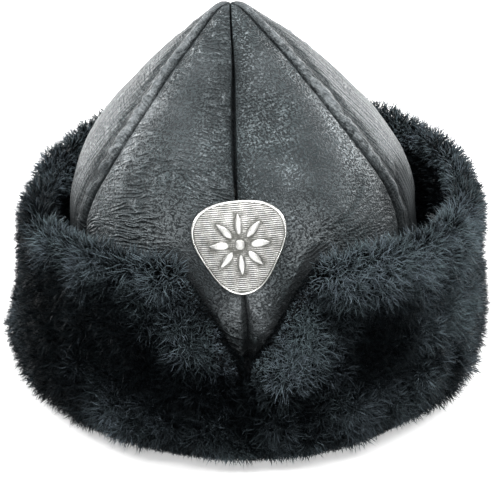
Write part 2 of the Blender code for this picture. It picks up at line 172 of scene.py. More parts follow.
# azimuth and height of a crease's two ends, its half width and its depth
CREASES = (
    (-145, 126, -126, 130, 0.8, -0.45),
    (-146, 118, -130, 121, 0.8, -0.35),
    (-94, 153, -101, 155, 0.9, 0.45),
    (-94, 143, -103, 140, 0.9, 0.4),
    (-94, 134, -104, 129, 1.0, 0.45),
    (-95, 125, -106, 119, 1.0, 0.45),
    (-94, 117, -104, 111, 0.9, 0.4),
    (-94, 171, -103, 168, 1.0, 0.4),
    (-60, 104, -42, 119, 1.2, 0.6),
    (-57, 100, -38, 113, 1.0, -0.4),
    (-88, 72, -80, 66, 1.0, 0.5),
    (-87, 64, -78, 60, 1.0, 0.5),
    (-93, 70, -101, 64, 1.0, 0.4),
    (-120, 88, -108, 84, 1.3, 0.5),
    (-70, 84, -58, 80, 1.3, 0.5),
    (-16, 116, -24, 104, 1.4, 0.5),
    (2, 108, -8, 96, 1.6, 0.6),
    (196, 112, 188, 102, 1.4, 0.5),
    (174, 122, 160, 116, 1.4, 0.5),
    (120, 118, 104, 108, 1.4, 0.5),
    (70, 110, 52, 102, 1.4, 0.5),
    (44, 128, 34, 118, 1.3, 0.45),
    (86, 134, 74, 128, 1.2, 0.45),
    (140, 138, 128, 132, 1.2, 0.45),
    (-35, 132, -26, 130, 0.8, 0.8),
    (-143, 130, -124, 133, 0.7, -0.35),
    (-123, 134, -106, 132, 0.7, -0.35),
    (-108, 128, -99, 123, 0.8, -0.4),
    (-103, 143, -96, 142, 0.8, -0.35),
)

# a crease's sideways bow and where it fades in and out, as shares of its length, then the low ridge
# beside it: its distance in half widths and its share of the depth
CREASE_BOW = 0.08
CREASE_FADES_IN, CREASE_FADES_OUT = (-0.12, 0.2), (0.72, 1.12)
RIDGE_DISTANCE, RIDGE_SHARE = 1.9, 0.5

# half widths of the crown between which each kind of relief grows, from none near the tip to full
CALM_FADE = (8 * MM, 46 * MM)
PUFF_FADE = (4 * MM, 30 * MM)
LUMP_FADE = (6 * MM, 34 * MM)
SLIT_FADE = (0, 4 * MM)

# how wrinkled the front panels' leather is, and the others'
WRINKLED = {"front_left": 1.0, "front_right": 0.3}
OTHERS_WRINKLED = 0.45

# painted shadow on the leather in the deep gap behind the notch's edges: strength, heights and turns
# where it fades, and how the front's view moves the edge on the leather
NOTCH_SHADE_STRENGTH = 3
NOTCH_SHADE_HEIGHTS, NOTCH_SHADE_TURNS = (2.5 * MM, 6.5 * MM), (22, 30)
NOTCH_VIEW_SHARE, NOTCH_VIEW_DROP = 0.84, 8 * MM

# half width of a round bump as a share of its reach, and the gain that spreads noise from -1 to 1
BUMP_CORE = 0.6
NOISE_GAIN = 1.6

# azimuth, height, reach and strength of the highlights (positive) and the shade (negative) painted on the
# leather
LEATHER_PAINTED_LIGHT_AND_SHADE = (
    (-71, 103, 26, 0.4),
    (-66, 93, 18, 0.3),
    (-114, 104, 20, 0.6),
    (-91, 70, 20, 1.0),
    (-86, 80, 12, 0.5),
    (-82, 156, 26, -0.6),
    (-76, 170, 20, -0.5),
    (-105, 160, 20, -0.4),
    (-97, 122, 16, -0.4),
    (-30, 105, 24, -1.8),
    (-14, 106, 20, -1.7),
    (-14, 88, 20, -1.8),
    (0, 84, 18, -1.5),
    (-174, 84, 24, -2.2),
    (-158, 92, 16, -1.2),
    (-142, 131, 14, 1.0),
    (-142, 148, 13, 1.0),
    (-140, 114, 12, 0.6),
    (-38, 135, 12, 0.35),
    (-38, 150, 13, 0.5),
    (-44, 120, 20, -0.7),
    (-152, 114, 22, -0.9),
)

# Cuff: offsets are measured outwards from the crown's own outline
CUFF_HEIGHT = 101 * MM
RIM_SHIFT = 2.4 * MM
GAP = 0.3 * MM
LIP_INSET = 4.3 * MM
LIP_THICKNESS = CROWN_FOOT - GAP
LIP_ROUND = 0.8 * MM
FOOT_ROUND_WIDTH = 22 * MM
FOOT_ROUND_HEIGHT = 21 * MM
RIM_ROUND_HEIGHT = 11 * MM

# height, offset of the cuff's inner wall, offset of its outer wall
CUFF_WALLS = (
    (0, 0.7, 31.2),
    (21, 0.7, 31.2),
    (34, 0.8, 30.6),
    (58, 2.2, 28.4),
    (78, 5.6, 27.2),
    (92, 8.6, 26.2),
    (110, 9.8, 25.2),
)

# azimuth, rise of the rim there, degrees that it spreads
RIM_RISES = ((-150, -2.0, 32), (-60, 1.0, 32), (0, 2.0, 32), (90, 1.0, 32), (180, -1.0, 32))

NOTCH_RADIUS = 113 * MM
NOTCH_FLOOR = 55 * MM
NOTCH_FLOOR_HALF_WIDTH = 3.6 * MM
NOTCH_SLOPE_RUNS = (30 * MM, 33 * MM)
NOTCH_CREASE_DEPTH = 7 * MM
NOTCH_CREASE_HALF_WIDTH = 5 * MM

# azimuth, height, reach and rise of the lumps and hollows of the fur
FUR_LUMPS = (
    (-118, 66, 24, 3.0),
    (-128, 46, 22, -3.2),
    (-104, 38, 18, 2.6),
    (-78, 44, 18, 3.2),
    (-62, 62, 20, -2.6),
    (-58, 88, 22, 2.6),
    (-40, 40, 24, 2.0),
    (-160, 58, 20, -2.2),
    (-172, 24, 26, 1.6),
    (0, 36, 34, 2.8),
    (180, 46, 44, -3.4),
    (40, 50, 28, 1.8),
    (95, 62, 30, -2.0),
    (140, 44, 30, 1.8),
)

# azimuth, height, reach and strength of the light (positive) and the shade (negative) painted on the fur
FUR_PAINTED_LIGHT_AND_SHADE = (
    (-126, 93, 32, 0.5),
    (-110, 92, 28, 0.6),
    (-90, 51, 9, -1.7),
    (-140, 98, 28, 1.2),
    (-150, 103, 26, 1.8),
    (-154, 84, 20, 0.8),
    (-148, 60, 34, -1.0),
    (-134, 62, 24, -0.8),
    (-122, 48, 28, -0.8),
    (-140, 28, 34, -0.7),
    (-97, 64, 20, 1.2),
    (-104, 60, 14, 0.4),
    (-79, 60, 20, 1.2),
    (-85, 50, 13, 0.8),
    (-71, 62, 14, 0.6),
    (-70, 100, 24, 1.9),
    (-51, 95, 32, 1.4),
    (-31, 96, 30, 1.0),
    (-45, 78, 18, 0.5),
    (-33, 47, 24, 0.6),
    (-22, 103, 26, 1.5),
    (-17, 86, 24, 1.0),
    (-56, 60, 26, -1.3),
    (-61, 72, 18, -0.8),
    (-53, 76, 16, -0.6),
    (-80, 77, 14, 0.5),
    (-25, 56, 24, 0.7),
    (-21, 35, 24, 0.4),
    (-76, 73, 14, 0.6),
    (-62, 58, 18, -0.8),
    (-125, 20, 26, 0.3),
    (-89, 14, 24, 0.2),
    (-60, 18, 24, 0.3),
    (-127, 74, 18, -1.0),
    (-118, 68, 20, -1.0),
    (-112, 48, 24, -1.0),
    (-100, 45, 20, -0.8),
    (-90, 34, 22, -0.9),
    (-78, 34, 20, -0.8),
    (-59, 72, 13, -0.7),
    (-62, 44, 22, -0.5),
    (0, 70, 30, 0.5),
    (15, 30, 26, -0.6),
    (40, 84, 28, 0.6),
    (34, 106, 34, 2.2),
    (6, 104, 28, 1.2),
    (172, 104, 30, 0.9),
    (90, 104, 44, 1.2),
    (148, 106, 34, 1.2),
    (60, 42, 30, -0.7),
    (85, 72, 30, 0.5),
    (100, 32, 26, -0.6),
    (125, 78, 28, 0.6),
    (150, 45, 28, -0.6),
    (170, 82, 26, 0.5),
    (-175, 40, 26, -0.5),
)

# azimuth, extra rise of the fur's rim there, degrees that it spreads
FUR_RIM_RISES = (
    (128, 4.5, 32),
    (176, -6.5, 32),
    (45, 3.0, 32),
    (0, -1.0, 32),
    (-24, -3.0, 18),
    (-157, -4.2, 16),
)

# azimuth, height, reach and rise of lumps at the fur's low edge, which the solids don't have
FOOT_LUMPS = (
    (-128, 12, 32, 1.0),
    (-30, 26, 34, 1.5),
    (-50, 10, 32, -2.5),
    (150, 14, 36, 3.0),
    (40, 14, 36, 2.5),
)

# Hide under the fur: how far it lies inside the fur's surface, its stations and its tufts
HIDE_DEPTH = 6.6 * MM
INNER_HIDE_DEPTH = 3.0 * MM
HALF_CUFF_STATIONS = 120
TUFT_SIZE, SMALL_TUFT_SIZE = 12 * MM, 12 * MM / 2.2
SMALL_TUFT_SHARE = 0.45
TUFT_RISE = 1.9 * MM

# How much light is painted on the tufts' tops, how small locks vary the fur's tone, and the painted shade
# inside and in the notch
TUFT_TOP_PAINTED_LIGHT = 0.55
LOCK_TONE, LOCK_SIZE = 0.75, 5.4 * MM
INNER_PAINTED_SHADE, INNER_DARK_RUN = 3.4, 10 * MM
INNER_DARK_STARTS = (3 * MM, 9 * MM)
NOTCH_FUR_PAINTED_SHADE, NOTCH_FUR_EDGE = 3.0, 7 * MM

# places in the cuff's section, as its points are counted from the lip: those that carry fur, where shade is
# painted on the inner wall, where shade is painted on the notch's edges, and where the notch's fur gets short
FURRED_COLUMNS = slice(4, 50)
INNER_DARK_COLUMNS = (34, 37)
NOTCH_DARK_COLUMNS = (33, 36)
NOTCH_SHORT_COLUMNS = (23, 30)

# Fur strands, and the shares of their length inside the cuff and in the notch
STRAND_SIZES = {
    "Density": 2.4e6,
    "Strand Width": 0.36 * MM,
    "Strand Length": 8.0 * MM,
    "Length Variation": 0.12,
    "Strand Bend": 1.05,
    "Tuft Size": 4.6 * MM,
    "Tuft Pull": 0.75,
    "Comb Size": 16 * MM,
    "Comb Pull": 1.0,
    "Stray": 0.42,
    "Floor Height": 0.3 * MM,
}
FIRST_SEED = 100
STRAND_MIDDLE_POWER, STRAND_TAPER_POWER = 0.36, 8.0
TUFT_LENGTH_VARIATION = 0.24
SHORTEST_STRAND_SHARE = 0.35
INNER_DENSITY_SHARE = 0.75
INNER_STRAND_SHARE = 0.36
NOTCH_STRAND_SHARE = 0.24
FUR_SECTORS = [name for name, _, _ in PANELS]
SECTOR_TURN = 360 / len(FUR_SECTORS)
SECTOR_STATIONS = 80

# Noise of the leather, in lumps for each metre: across and along for the wrinkles and the side lines
GRAIN_SCALE, MOTTLE_SCALE, PATCH_SCALE, FLESH_SCALE = 1050.0, 60.0, 28.0, 900.0
WRINKLE_SCALES = (500.0, 100.0)
SIDE_LINE_SCALES = (560.0, 40.0)

# Heights of the materials' relief
GRAIN_HEIGHT = 0.64 * MM
WRINKLE_HEIGHT = 6.4 * MM
SIDE_LINE_HEIGHT = 2.0 * MM
FELT_HEIGHT = 0.8 * MM
GRIT_HEIGHT = 0.06 * MM

# Badge: a rounded triangle, point down, that follows the crown's surface
BADGE_HEIGHT_ON_CROWN = 102 * MM
BADGE_SIDE_SHIFT = -0.8 * MM
BADGE_TURN = 5.0
BADGE_MEAN_RADIUS = 21.45 * MM
BADGE_HARMONICS = ((1, 0.5), (2, 0.42), (3, -2.24), (6, 0.1))
BADGE_THICKNESS = 1.6 * MM
BADGE_SECTORS = 192

# share of the badge's outline, height: from the ground over the rim to the back
BADGE_RINGS = (
    (0.15, 1.6),
    (0.3, 1.6),
    (0.45, 1.6),
    (0.6, 1.6),
    (0.75, 1.6),
    (0.9, 1.6),
    (0.947, 1.62),
    (0.956, 1.85),
    (0.964, 2.02),
    (0.972, 2.1),
    (0.98, 2.08),
    (0.988, 1.95),
    (0.995, 1.72),
    (1.0, 1.4),
    (1.0, 0.8),
    (1.0, 0.3),
    (0.992, 0.05),
    (0.98, 0.0),
    (0.6, 0.0),
    (0.3, 0.0),
)
RIM_STARTS, RIM_POLISH, RIM_POLISH_RISE = 0.95, 0.85, 0.4
LEAF_POLISH, LEAF_POLISH_RISES = 0.42, (0.1, 0.7)
HATCH_POLISH, HATCH_POLISH_RISE, HATCH_CLEARANCE = 0.5, 0.2, 1.3 * MM
PETALS = 8
PETAL_START = 4.4 * MM
PETAL_END = 14.6 * MM
PETAL_HALF_WIDTH = 2.1 * MM
PETAL_RISE = 1.0 * MM
PETAL_SINK = 0.4 * MM
PETAL_VEIN = 0.08 * MM
BOSS_RADIUS = 2.6 * MM
BOSS_RISE = 0.9 * MM
HATCH_SPACING = 0.95 * MM
HATCH_WIDTH = 0.54 * MM
HATCH_RISE = 0.20 * MM
HATCH_EDGE_SHARE = 0.945
HATCH_END_GAP = 0.3 * MM
HATCH_STEP = 1.3 * MM
HATCH_WOBBLE, HATCH_WOBBLE_SIZE = 0.04 * MM, 2.1 * MM

# name, place, width, height and watts of each soft light
LIGHTS = (
    ("light_key_left", (-0.65, -0.65, 1.15), 0.30, 0.30, 5.4),
    ("light_key_right", (0.74, -0.56, 1.15), 0.30, 0.30, 5.8),
    ("light_front_high", (-0.1, -0.8, 1.3), 0.4, 0.25, 5),
    ("light_front", (0.0, -1.6, 0.62), 0.8, 0.35, 12),
    ("light_top", (0.0, 0.25, 1.6), 1.0, 0.8, 32),
    ("light_left", (-1.25, 0.45, 0.7), 0.4, 0.5, 12),
    ("light_right", (1.25, 0.45, 0.7), 0.4, 0.5, 12),
    ("light_back_left", (-0.9, 1.2, 0.35), 0.9, 0.5, 16),
    ("light_back_right", (0.9, 1.2, 0.35), 0.9, 0.5, 16),
)
LIGHT_TARGET = Vector((0, 0, 80)) * MM
FLOOR_HALF_SIZE = 40.0

# Camera: fitted to the photo's outline of the hat
PHOTO_WIDTH = 500
FOCAL_PIXELS = 1969.4
SENSOR_WIDTH = 36.0
CAMERA_TARGET = Vector((2.0, 0.0, 64.3)) * MM
CAMERA_DISTANCE = 1.0
CAMERA_ELEVATION = 24.05


def smoothstep(low, high, value):
    """0 up to the low value, 1 from the high one, and a smooth rise between them."""
    share = np.clip((value - low) / (high - low), 0.0, 1.0)
    return share * share * (3 - 2 * share)


def table_value(rows, keys, column=1):
    """The column of a table in millimetres at the keys in metres, on a smooth curve through its rows."""
    table = np.array(rows, float) * MM
    places, values = table[:, 0], table[:, column]
    slopes = np.diff(values) / np.diff(places)
    before, after = slopes[:-1], slopes[1:]
    same_way = before * after > 0
    total = np.where(same_way, before + after, 1.0)
    tangents = np.concatenate((slopes[:1], np.where(same_way, 2 * before * after / total, 0.0), slopes[-1:]))
    keys = np.clip(keys, places[0], places[-1])
    i = np.clip(np.searchsorted(places, keys) - 1, 0, len(slopes) - 1)
    step = places[i + 1] - places[i]
    t = (keys - places[i]) / step
    return (
        values[i] * (1 + 2 * t) * (1 - t) ** 2
        + tangents[i] * step * t * (1 - t) ** 2
        + values[i + 1] * t * t * (3 - 2 * t)
        + tangents[i + 1] * step * t * t * (t - 1)
    )


def turn_between(first, second):
    """The signed angle from the first azimuth to the second, from -180 to 180."""
    return (second - first + 180) % 360 - 180


def bell(distance, half_width):
    """1 at no distance, and fading smoothly to about a third at the half width."""
    return np.exp(-((distance / half_width) ** 2))


def ramp(distance, reach):
    """1 at no distance, and falling evenly to 0 at the reach."""
    return np.maximum(0.0, 1 - distance / reach)


def bumps(table, azimuth, height, radius):
    """The sum of a table's round bumps at places on a wall of that radius."""
    total = 0.0
    for bump_azimuth, bump_height, reach, rise in table:
        along = np.radians(turn_between(bump_azimuth, azimuth)) * radius
        up = height - bump_height * MM
        total = total + rise * MM * bell(np.hypot(along, up), BUMP_CORE * reach * MM)
    return total


def soft_noise(points, size, salt=0.0):
    """Smooth noise from about -1 to 1 at each point of an array, with lumps of about that size."""
    flat = points.reshape(-1, 3) / size + salt
    values = np.array([noise.noise(place) for place in flat.tolist()])
    return values.reshape(points.shape[:-1]) * NOISE_GAIN


def axis_shift(height):
    """How far the crown's middle line has leant sideways at a height, with a little more at the tip."""
    tip_share = smoothstep(TIP_LEAN_STARTS, HAT_HEIGHT, height)
    return APEX_LEAN * (height / HAT_HEIGHT) ** 2 + TIP_LEAN * tip_share


def crown_points(azimuth, height, inset=0.0):
    """Points on the crown's smooth outer surface, moved inwards along the profile's normal."""
    half_width = table_value(CROWN_PROFILE, height)
    step = 0.5 * MM
    low, high = np.maximum(CROWN_FOOT, height - step), np.minimum(HAT_HEIGHT, height + step)
    slope = (table_value(CROWN_PROFILE, high) - table_value(CROWN_PROFILE, low)) / (high - low)
    length = np.hypot(1, slope)
    reach = np.maximum(0.0, half_width - inset / length)
    down = inset * -slope / length
    angle = np.radians(azimuth)
    depth = np.where(reach > 0, half_width * DEPTH_OVER_WIDTH - (half_width - reach), 0.0)
    places = np.broadcast_arrays(
        axis_shift(height) + reach * np.cos(angle),
        depth * np.sin(angle),
        height - down,
    )
    return np.stack(places, axis=-1)


def profile_length(height):
    """The length along the crown's profile from its foot up to each height."""
    samples = np.linspace(CROWN_FOOT, HAT_HEIGHT, 800)
    steps = np.hypot(np.diff(samples), np.diff(table_value(CROWN_PROFILE, samples)))
    return np.interp(height, samples, np.concatenate(([0.0], np.cumsum(steps))))


def panel_rows(spacing, fine_from):
    """The heights of a panel's rows of points: wide apart where the cuff hides them, then evenly spaced."""
    samples = np.linspace(CROWN_FOOT, HAT_HEIGHT, 4000)
    lengths = profile_length(samples)
    fine_start = np.interp(fine_from, samples, lengths)
    hidden = np.linspace(0, fine_start, 1 + INNER_STEP * round(fine_start / HIDDEN_SPACING / INNER_STEP))
    rest = lengths[-1] - fine_start - 0.6 * MM
    shown = np.linspace(0, rest, 1 + INNER_STEP * round(rest / spacing / INNER_STEP)) + fine_start
    return np.interp(np.concatenate((hidden, shown[1:])), lengths, samples)


def panel_columns(width, spacing):
    """Shares of the way across a panel, which crowd towards its two seams."""
    count = INNER_STEP * round((width / spacing + 8) / INNER_STEP)
    even = np.linspace(-1, 1, count + 1)
    shares = even * (1 - COLUMN_CROWDING) + COLUMN_CROWDING * np.sin(even * math.pi / 2)
    return (shares + 1) / 2


def crease_relief(azimuth, height, half_width):
    """The inset of the long creases, positive where the leather folds in."""
    total = np.zeros(np.broadcast(azimuth, height).shape)
    along = profile_length(height)
    for azimuth_a, height_a, azimuth_b, height_b, crease_width, depth in CREASES:
        start_along, end_along = profile_length(np.array([height_a, height_b]) * MM)
        middle_width = table_value(CROWN_PROFILE, (height_a + height_b) / 2 * MM)
        run = np.radians(turn_between(azimuth_a, azimuth_b)) * middle_width
        rise = end_along - start_along
        length = math.hypot(run, rise)
        across = np.radians(turn_between(azimuth_a, azimuth)) * half_width
        up = along - start_along
        share = (across * run + up * rise) / length**2
        curve = CREASE_BOW * length * np.sin(np.clip(share, 0, 1) * math.pi)
        aside = (across * rise - up * run) / length - curve
        fade = smoothstep(*CREASE_FADES_IN, share) * (1 - smoothstep(*CREASE_FADES_OUT, share))
        width = crease_width * MM
        shape = bell(aside, width) - RIDGE_SHARE * bell(aside - RIDGE_DISTANCE * width, width)
        total += depth * MM * fade * shape
    return total


def panel_seams(panel):
    """The seams at the two edges of a panel."""
    return SEAMS[panel], SEAMS[(panel + 1) % len(SEAMS)]


def panel_span(panel, height):
    """Where a panel starts and how far it reaches round the crown, in degrees, at each height."""
    ends = []
    for name, azimuth, _ in panel_seams(panel):
        turn = table_value(SEAM_TURNS, height, TURN_COLUMNS[name]) / MM if name in TURN_COLUMNS else 0.0
        ends.append(azimuth + turn)
    return ends[0], (ends[1] - ends[0]) % 360


def panel_relief(panel, share, height, detailed=True):
    """The panel's inset at shares of the way across it, its distance from a seam, and the highlight and shade
    painted on its welts.
    """
    start, span = panel_span(panel, height)
    half_width = table_value(CROWN_PROFILE, height)
    width = np.radians(span) * half_width
    fade = smoothstep(0, TIP_FADE_WIDTH, half_width)
    calm = smoothstep(*CALM_FADE, half_width)
    azimuth = start + share * span
    smooth_place = crown_points(azimuth, height)
    along = profile_length(height)
    inset = np.zeros(smooth_place.shape[:-1])
    nearest = np.full(inset.shape, 1.0)
    shade = 0.0
    first, second = panel_seams(panel)
    for seam, distance, side in ((first, share * width, 1), (second, (1 - share) * width, -1)):
        column = 1 if seam[0] in ("front", "back") else 2
        welted = side in seam[2]
        lumps, pucker = 1.0, 0.0
        if detailed:
            salt = seam[1] * 0.1 + side
            stretched = distance * PUCKER_STRETCH
            seam_line = np.stack(np.broadcast_arrays(along, stretched, 0.0 * share), axis=-1)
            pucker = soft_noise(seam_line, PUCKER_SIZE, salt) * PUCKER_DEPTH
            pucker = pucker * bell(distance - PUCKER_CENTRE, PUCKER_HALF_WIDTH) * calm
            lumps = 1 + WELT_LUMP_SHARE * calm * soft_noise(seam_line, WELT_LUMP_SIZE, salt + 5)
        welt = WELT_RISE * smoothstep(WELT_STARTS, WELT_FULL, height) * lumps if welted else 0.0
        groove = table_value(GROOVE_DEPTHS, height, column) * (WELTED_GROOVE_SHARE if welted else 1.0)
        inset = inset + fade * groove * ramp(distance, GROOVE_REACH) ** 2
        inset = inset - fade * welt * bell(distance - WELT_CENTRE, WELT_HALF_WIDTH)
        # a painted highlight in beads along the welt's top, and painted shade in the valley beside it
        if welted and detailed:
            shown = fade * smoothstep(WELT_SHINE_STARTS, WELT_SHINE_FULL, height)
            beads = WELT_SHINE + WELT_BEAD_SHINE * soft_noise(seam_line, WELT_BEAD_SIZE, salt + 9)
            shade = shown * beads * bell(distance - WELT_SHINE_CENTRE, WELT_SHINE_HALF_WIDTH)
            dark = WELT_VALLEY_PAINTED_SHADE * bell(distance - WELT_DARK_CENTRE, WELT_SHINE_HALF_WIDTH)
            shade = shade - shown * dark
        if detailed:
            puff = PUFF_DEPTH * ramp(distance, PUFF_REACH) ** 2
            inset = inset + smoothstep(*PUFF_FADE, half_width) * puff
            inset = inset + fade * WELT_VALLEY_SHARE * welt * bell(distance - WELT_VALLEY, WELT_HALF_WIDTH)
        slit = np.sqrt(ramp(distance, table_value(SLITS, height, column)))
        inset = inset + SLIT_DEPTHS[column - 1] * slit * smoothstep(*SLIT_FADE, half_width)
        inset = inset - pucker * (WELTED_PUCKER_SHARE if welted else PUCKER_SHARE)
        nearest = np.minimum(nearest, distance)
    inset = inset + fade * bumps(LEATHER_DENTS, azimuth, height, half_width)
    if detailed:
        sideways = np.abs(np.cos(np.radians(azimuth)))
        inset = inset - TIP_RISE * sideways * bell(half_width - TIP_RISE_PLACE, TIP_RISE_HALF_WIDTH)
        inset = inset + fade * crease_relief(azimuth, height, half_width)
        lumps = SURFACE_LUMP_RISE * soft_noise(smooth_place, SURFACE_LUMP_SIZE, 3.0)
        inset = inset - smoothstep(*LUMP_FADE, half_width) * lumps
    return inset, nearest, shade


def mesh_from(name, points, faces):
    """A mesh data block from an array of points and a list of faces."""
    data = bpy.data.meshes.new(name)
    data.from_pydata(points.reshape(-1, 3).tolist(), [], faces)
    data.validate()
    return data


def points_of(data):
    """The points of a mesh as an array."""
    flat = np.zeros(len(data.vertices) * 3, np.float32)
    data.vertices.foreach_get("co", flat)
    return flat.reshape(-1, 3)


def object_of(name, data, finish):
    """An object at the origin with that mesh and material."""
    data.materials.clear()
    data.materials.append(finish)
    made = bpy.data.objects.new(name, data)
    bpy.context.scene.collection.objects.link(made)
    return made


def set_attribute(data, name, values, kind="FLOAT"):
    """Stores a value for each point of a mesh."""
    attribute = data.attributes.new(name, kind, "POINT")
    field = "vector" if kind == "FLOAT_VECTOR" else "value"
    attribute.data.foreach_set(field, np.asarray(values, np.float32).ravel())


def add_piece(name, data, finish, slot, *nodes, sharp_from=None):
    """A smooth piece with the solids that it replaces and the angle that makes an edge sharp. Its slot is not
    used.
    """
    data.shade_smooth()
    if sharp_from:
        data.set_sharp_from_angle(angle=math.radians(sharp_from))
    piece = object_of(name, data, finish)
    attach(piece, "root")
    if nodes:
        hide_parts(*nodes)


def grid_faces(rows, columns, start=0, flip=False):
    """Quads over a grid of points that are stored row by row."""
    faces = []
    for row in range(rows - 1):
        for column in range(columns - 1):
            a = start + row * columns + column
            face = (a, a + 1, a + columns + 1, a + columns)
            faces.append(face[::-1] if flip else face)
    return faces


def ring_faces(rings, count):
    """Quads between closed rings of points that are stored one after another."""
    faces = []
    for start in range(0, (rings - 1) * count, count):
        for i in range(count):
            j = (i + 1) % count
            faces.append((start + i, start + count + i, start + count + j, start + j))
    return faces


def fan_faces(hub, start, count, flip=False):
    """Triangles from a hub to a closed ring of points."""
    fan = [(hub, start + i, start + (i + 1) % count) for i in range(count)]
    return [face[::-1] for face in fan] if flip else fan


def notch_shade(azimuth, height):
    """How much painted shadow the leather gets where it lies in the deep gap behind the notch's two edges, as
    the front sees it.
    """
    turn = turn_between(FRONT, azimuth)
    above = height - rim_height(FRONT + NOTCH_VIEW_SHARE * turn) + NOTCH_VIEW_DROP
    low = 1 - smoothstep(*NOTCH_SHADE_HEIGHTS, above)
    return low * (1 - smoothstep(*NOTCH_SHADE_TURNS, np.abs(turn)))


def panel_faces(columns, rows, inner_columns, inner_rows):
    """The faces of a panel: its two skins, their tips, and the edges between them."""
    first_inner = rows * columns
    outer_tip = first_inner + inner_rows * inner_columns
    inner_tip = outer_tip + 1
    top, inner_top = (rows - 1) * columns, first_inner + (inner_rows - 1) * inner_columns
    faces = grid_faces(rows, columns) + grid_faces(inner_rows, inner_columns, first_inner, flip=True)
    faces += [(top + i, top + i + 1, outer_tip) for i in range(columns - 1)]
    faces += [(inner_top + i + 1, inner_top + i, inner_tip) for i in range(inner_columns - 1)]
    for i in range(inner_columns - 1):
        outside = [i * INNER_STEP + k for k in range(INNER_STEP + 1)]
        faces.append((*outside[::-1], first_inner + i, first_inner + i + 1))
    for side in (0, 1):
        end, inner_end = side * (columns - 1), side * (inner_columns - 1)
        edge = []
        for j in range(inner_rows - 1):
            outside = [(j * INNER_STEP + k) * columns + end for k in range(INNER_STEP + 1)]
            inside = [first_inner + (j + k) * inner_columns + inner_end for k in (1, 0)]
            edge.append((*outside, *inside))
        edge.append((top + end, outer_tip, inner_tip, inner_top + inner_end))
        faces += [face[::-1] for face in edge] if side == 0 else edge
    return faces


def make_panel(panel, finish):
    """One leather panel: a fine outer skin, a plain inner skin, and the edges between them."""
    name, spacing, fine_from = PANELS[panel]
    first, second = [azimuth for _, azimuth, _ in panel_seams(panel)]
    heights = panel_rows(spacing * MM, fine_from * MM)
    shares = panel_columns(math.radians((second - first) % 360) * CROWN_HALF_WIDTH, spacing * MM)
    share, height = np.meshgrid(shares, heights)
    start, reach = panel_span(panel, height)
    azimuth = start + share * reach
    inset, nearest, shade = panel_relief(panel, share, height)
    outer = crown_points(azimuth, height, inset)
    every = (slice(None, None, INNER_STEP), slice(None, None, INNER_STEP))
    inner_inset = panel_relief(panel, share[every], height[every], detailed=False)[0] + LEATHER
    inner = crown_points(azimuth[every], height[every], inner_inset)
    tips = np.array([crown_points(first, HAT_HEIGHT - sink) for sink in (TIP_SINK, 2 * LEATHER)])
    tips[:, 0], tips[:, 1] = APEX_LEAN + TIP_LEAN, 0.0
    points = np.concatenate((outer.reshape(-1, 3), inner.reshape(-1, 3), tips))
    rows, columns = share.shape
    inner_rows, inner_columns = inner_inset.shape
    faces = panel_faces(columns, rows, inner_columns, inner_rows)
    data = mesh_from(f"crown_{name}", points, faces)

    half_width = table_value(CROWN_PROFILE, height)
    spare = np.zeros(len(points) - share.size)
    # highlights and shade painted on the leather: the table's places, the welts, and the shadow behind the
    # notch's edges
    painted_light_and_shade = bumps(LEATHER_PAINTED_LIGHT_AND_SHADE, azimuth, height, half_width) / MM + shade
    painted_light_and_shade = painted_light_and_shade - NOTCH_SHADE_STRENGTH * notch_shade(azimuth, height)
    for attribute, values in (
        ("across", (share - 0.5) * np.radians(reach) * half_width),
        ("along", profile_length(height)),
        ("seam_distance", nearest),
        ("fold", inset),
        ("painted_light_and_shade", painted_light_and_shade),
    ):
        set_attribute(data, attribute, np.concatenate((values.ravel(), spare)))
    wrinkled = WRINKLED.get(name, OTHERS_WRINKLED)
    lined = 0.0 if name.startswith("front") else 1.0
    # 1 on the outer skin and on its tip, which is the last but one of the points
    outside = np.zeros(len(points))
    outside[: share.size] = 1.0
    outside[-2] = 1.0
    for attribute, values in (("wrinkled", wrinkled), ("lined", lined), ("grain_side", outside)):
        set_attribute(data, attribute, np.broadcast_to(values, len(points)))
    add_piece(f"crown_{name}", data, finish, "leather", f"crown_panel_{name}", sharp_from=55)


class Signal:
    """An output of a node, which takes arithmetic like a number."""

    def __init__(self, socket):
        self.socket = socket
        self.tree = socket.id_data

    def __add__(self, other):
        return maths("ADD", self, other)

    def __radd__(self, other):
        return maths("ADD", other, self)

    def __sub__(self, other):
        return maths("SUBTRACT", self, other)

    def __rsub__(self, other):
        return maths("SUBTRACT", other, self)

    def __mul__(self, other):
        return maths("MULTIPLY", self, other)

    def __truediv__(self, other):
        return maths("DIVIDE", self, other)

    def __rtruediv__(self, other):
        return maths("DIVIDE", other, self)

    def output(self, name):
        """Another output of the same node."""
        return Signal(self.socket.node.outputs[name])


def set_inputs(node, inputs):
    """Gives a value or a signal to each input of a node that is named or numbered."""
    for key, value in inputs.items():
        if isinstance(value, Signal):
            value.tree.links.new(value.socket, node.inputs[key])
        else:
            node.inputs[key].default_value = value


def add_node(tree, kind, inputs=None, output=0, **settings):
    """An output of a new node that has these inputs and settings."""
    node = tree.nodes.new(kind)
    for key, value in settings.items():
        setattr(node, key, value)
    set_inputs(node, inputs or {})
    return Signal(node.outputs[output])


def maths(operation, *values):
    """The result of a Math node."""
    tree = next(value.tree for value in values if isinstance(value, Signal))
    return add_node(tree, "ShaderNodeMath", dict(enumerate(values)), operation=operation)


def vector_maths(operation, first, second=None):
    """The result of a Vector Math node. The second value of SCALE is a number."""
    inputs = {0: first}
    if second is not None:
        inputs["Scale" if operation == "SCALE" else 1] = second
    output = "Value" if operation in ("DOT_PRODUCT", "LENGTH") else "Vector"
    return add_node(first.tree, "ShaderNodeVectorMath", inputs, output, operation=operation)


def combined(x, y, z=0.0):
    """A vector of three values, at least the first of which is a signal."""
    return add_node(x.tree, "ShaderNodeCombineXYZ", {0: x, 1: y, 2: z})


def separated(vector):
    """The three parts of a vector."""
    parts = add_node(vector.tree, "ShaderNodeSeparateXYZ", {0: vector})
    return [parts.output(axis) for axis in "XYZ"]


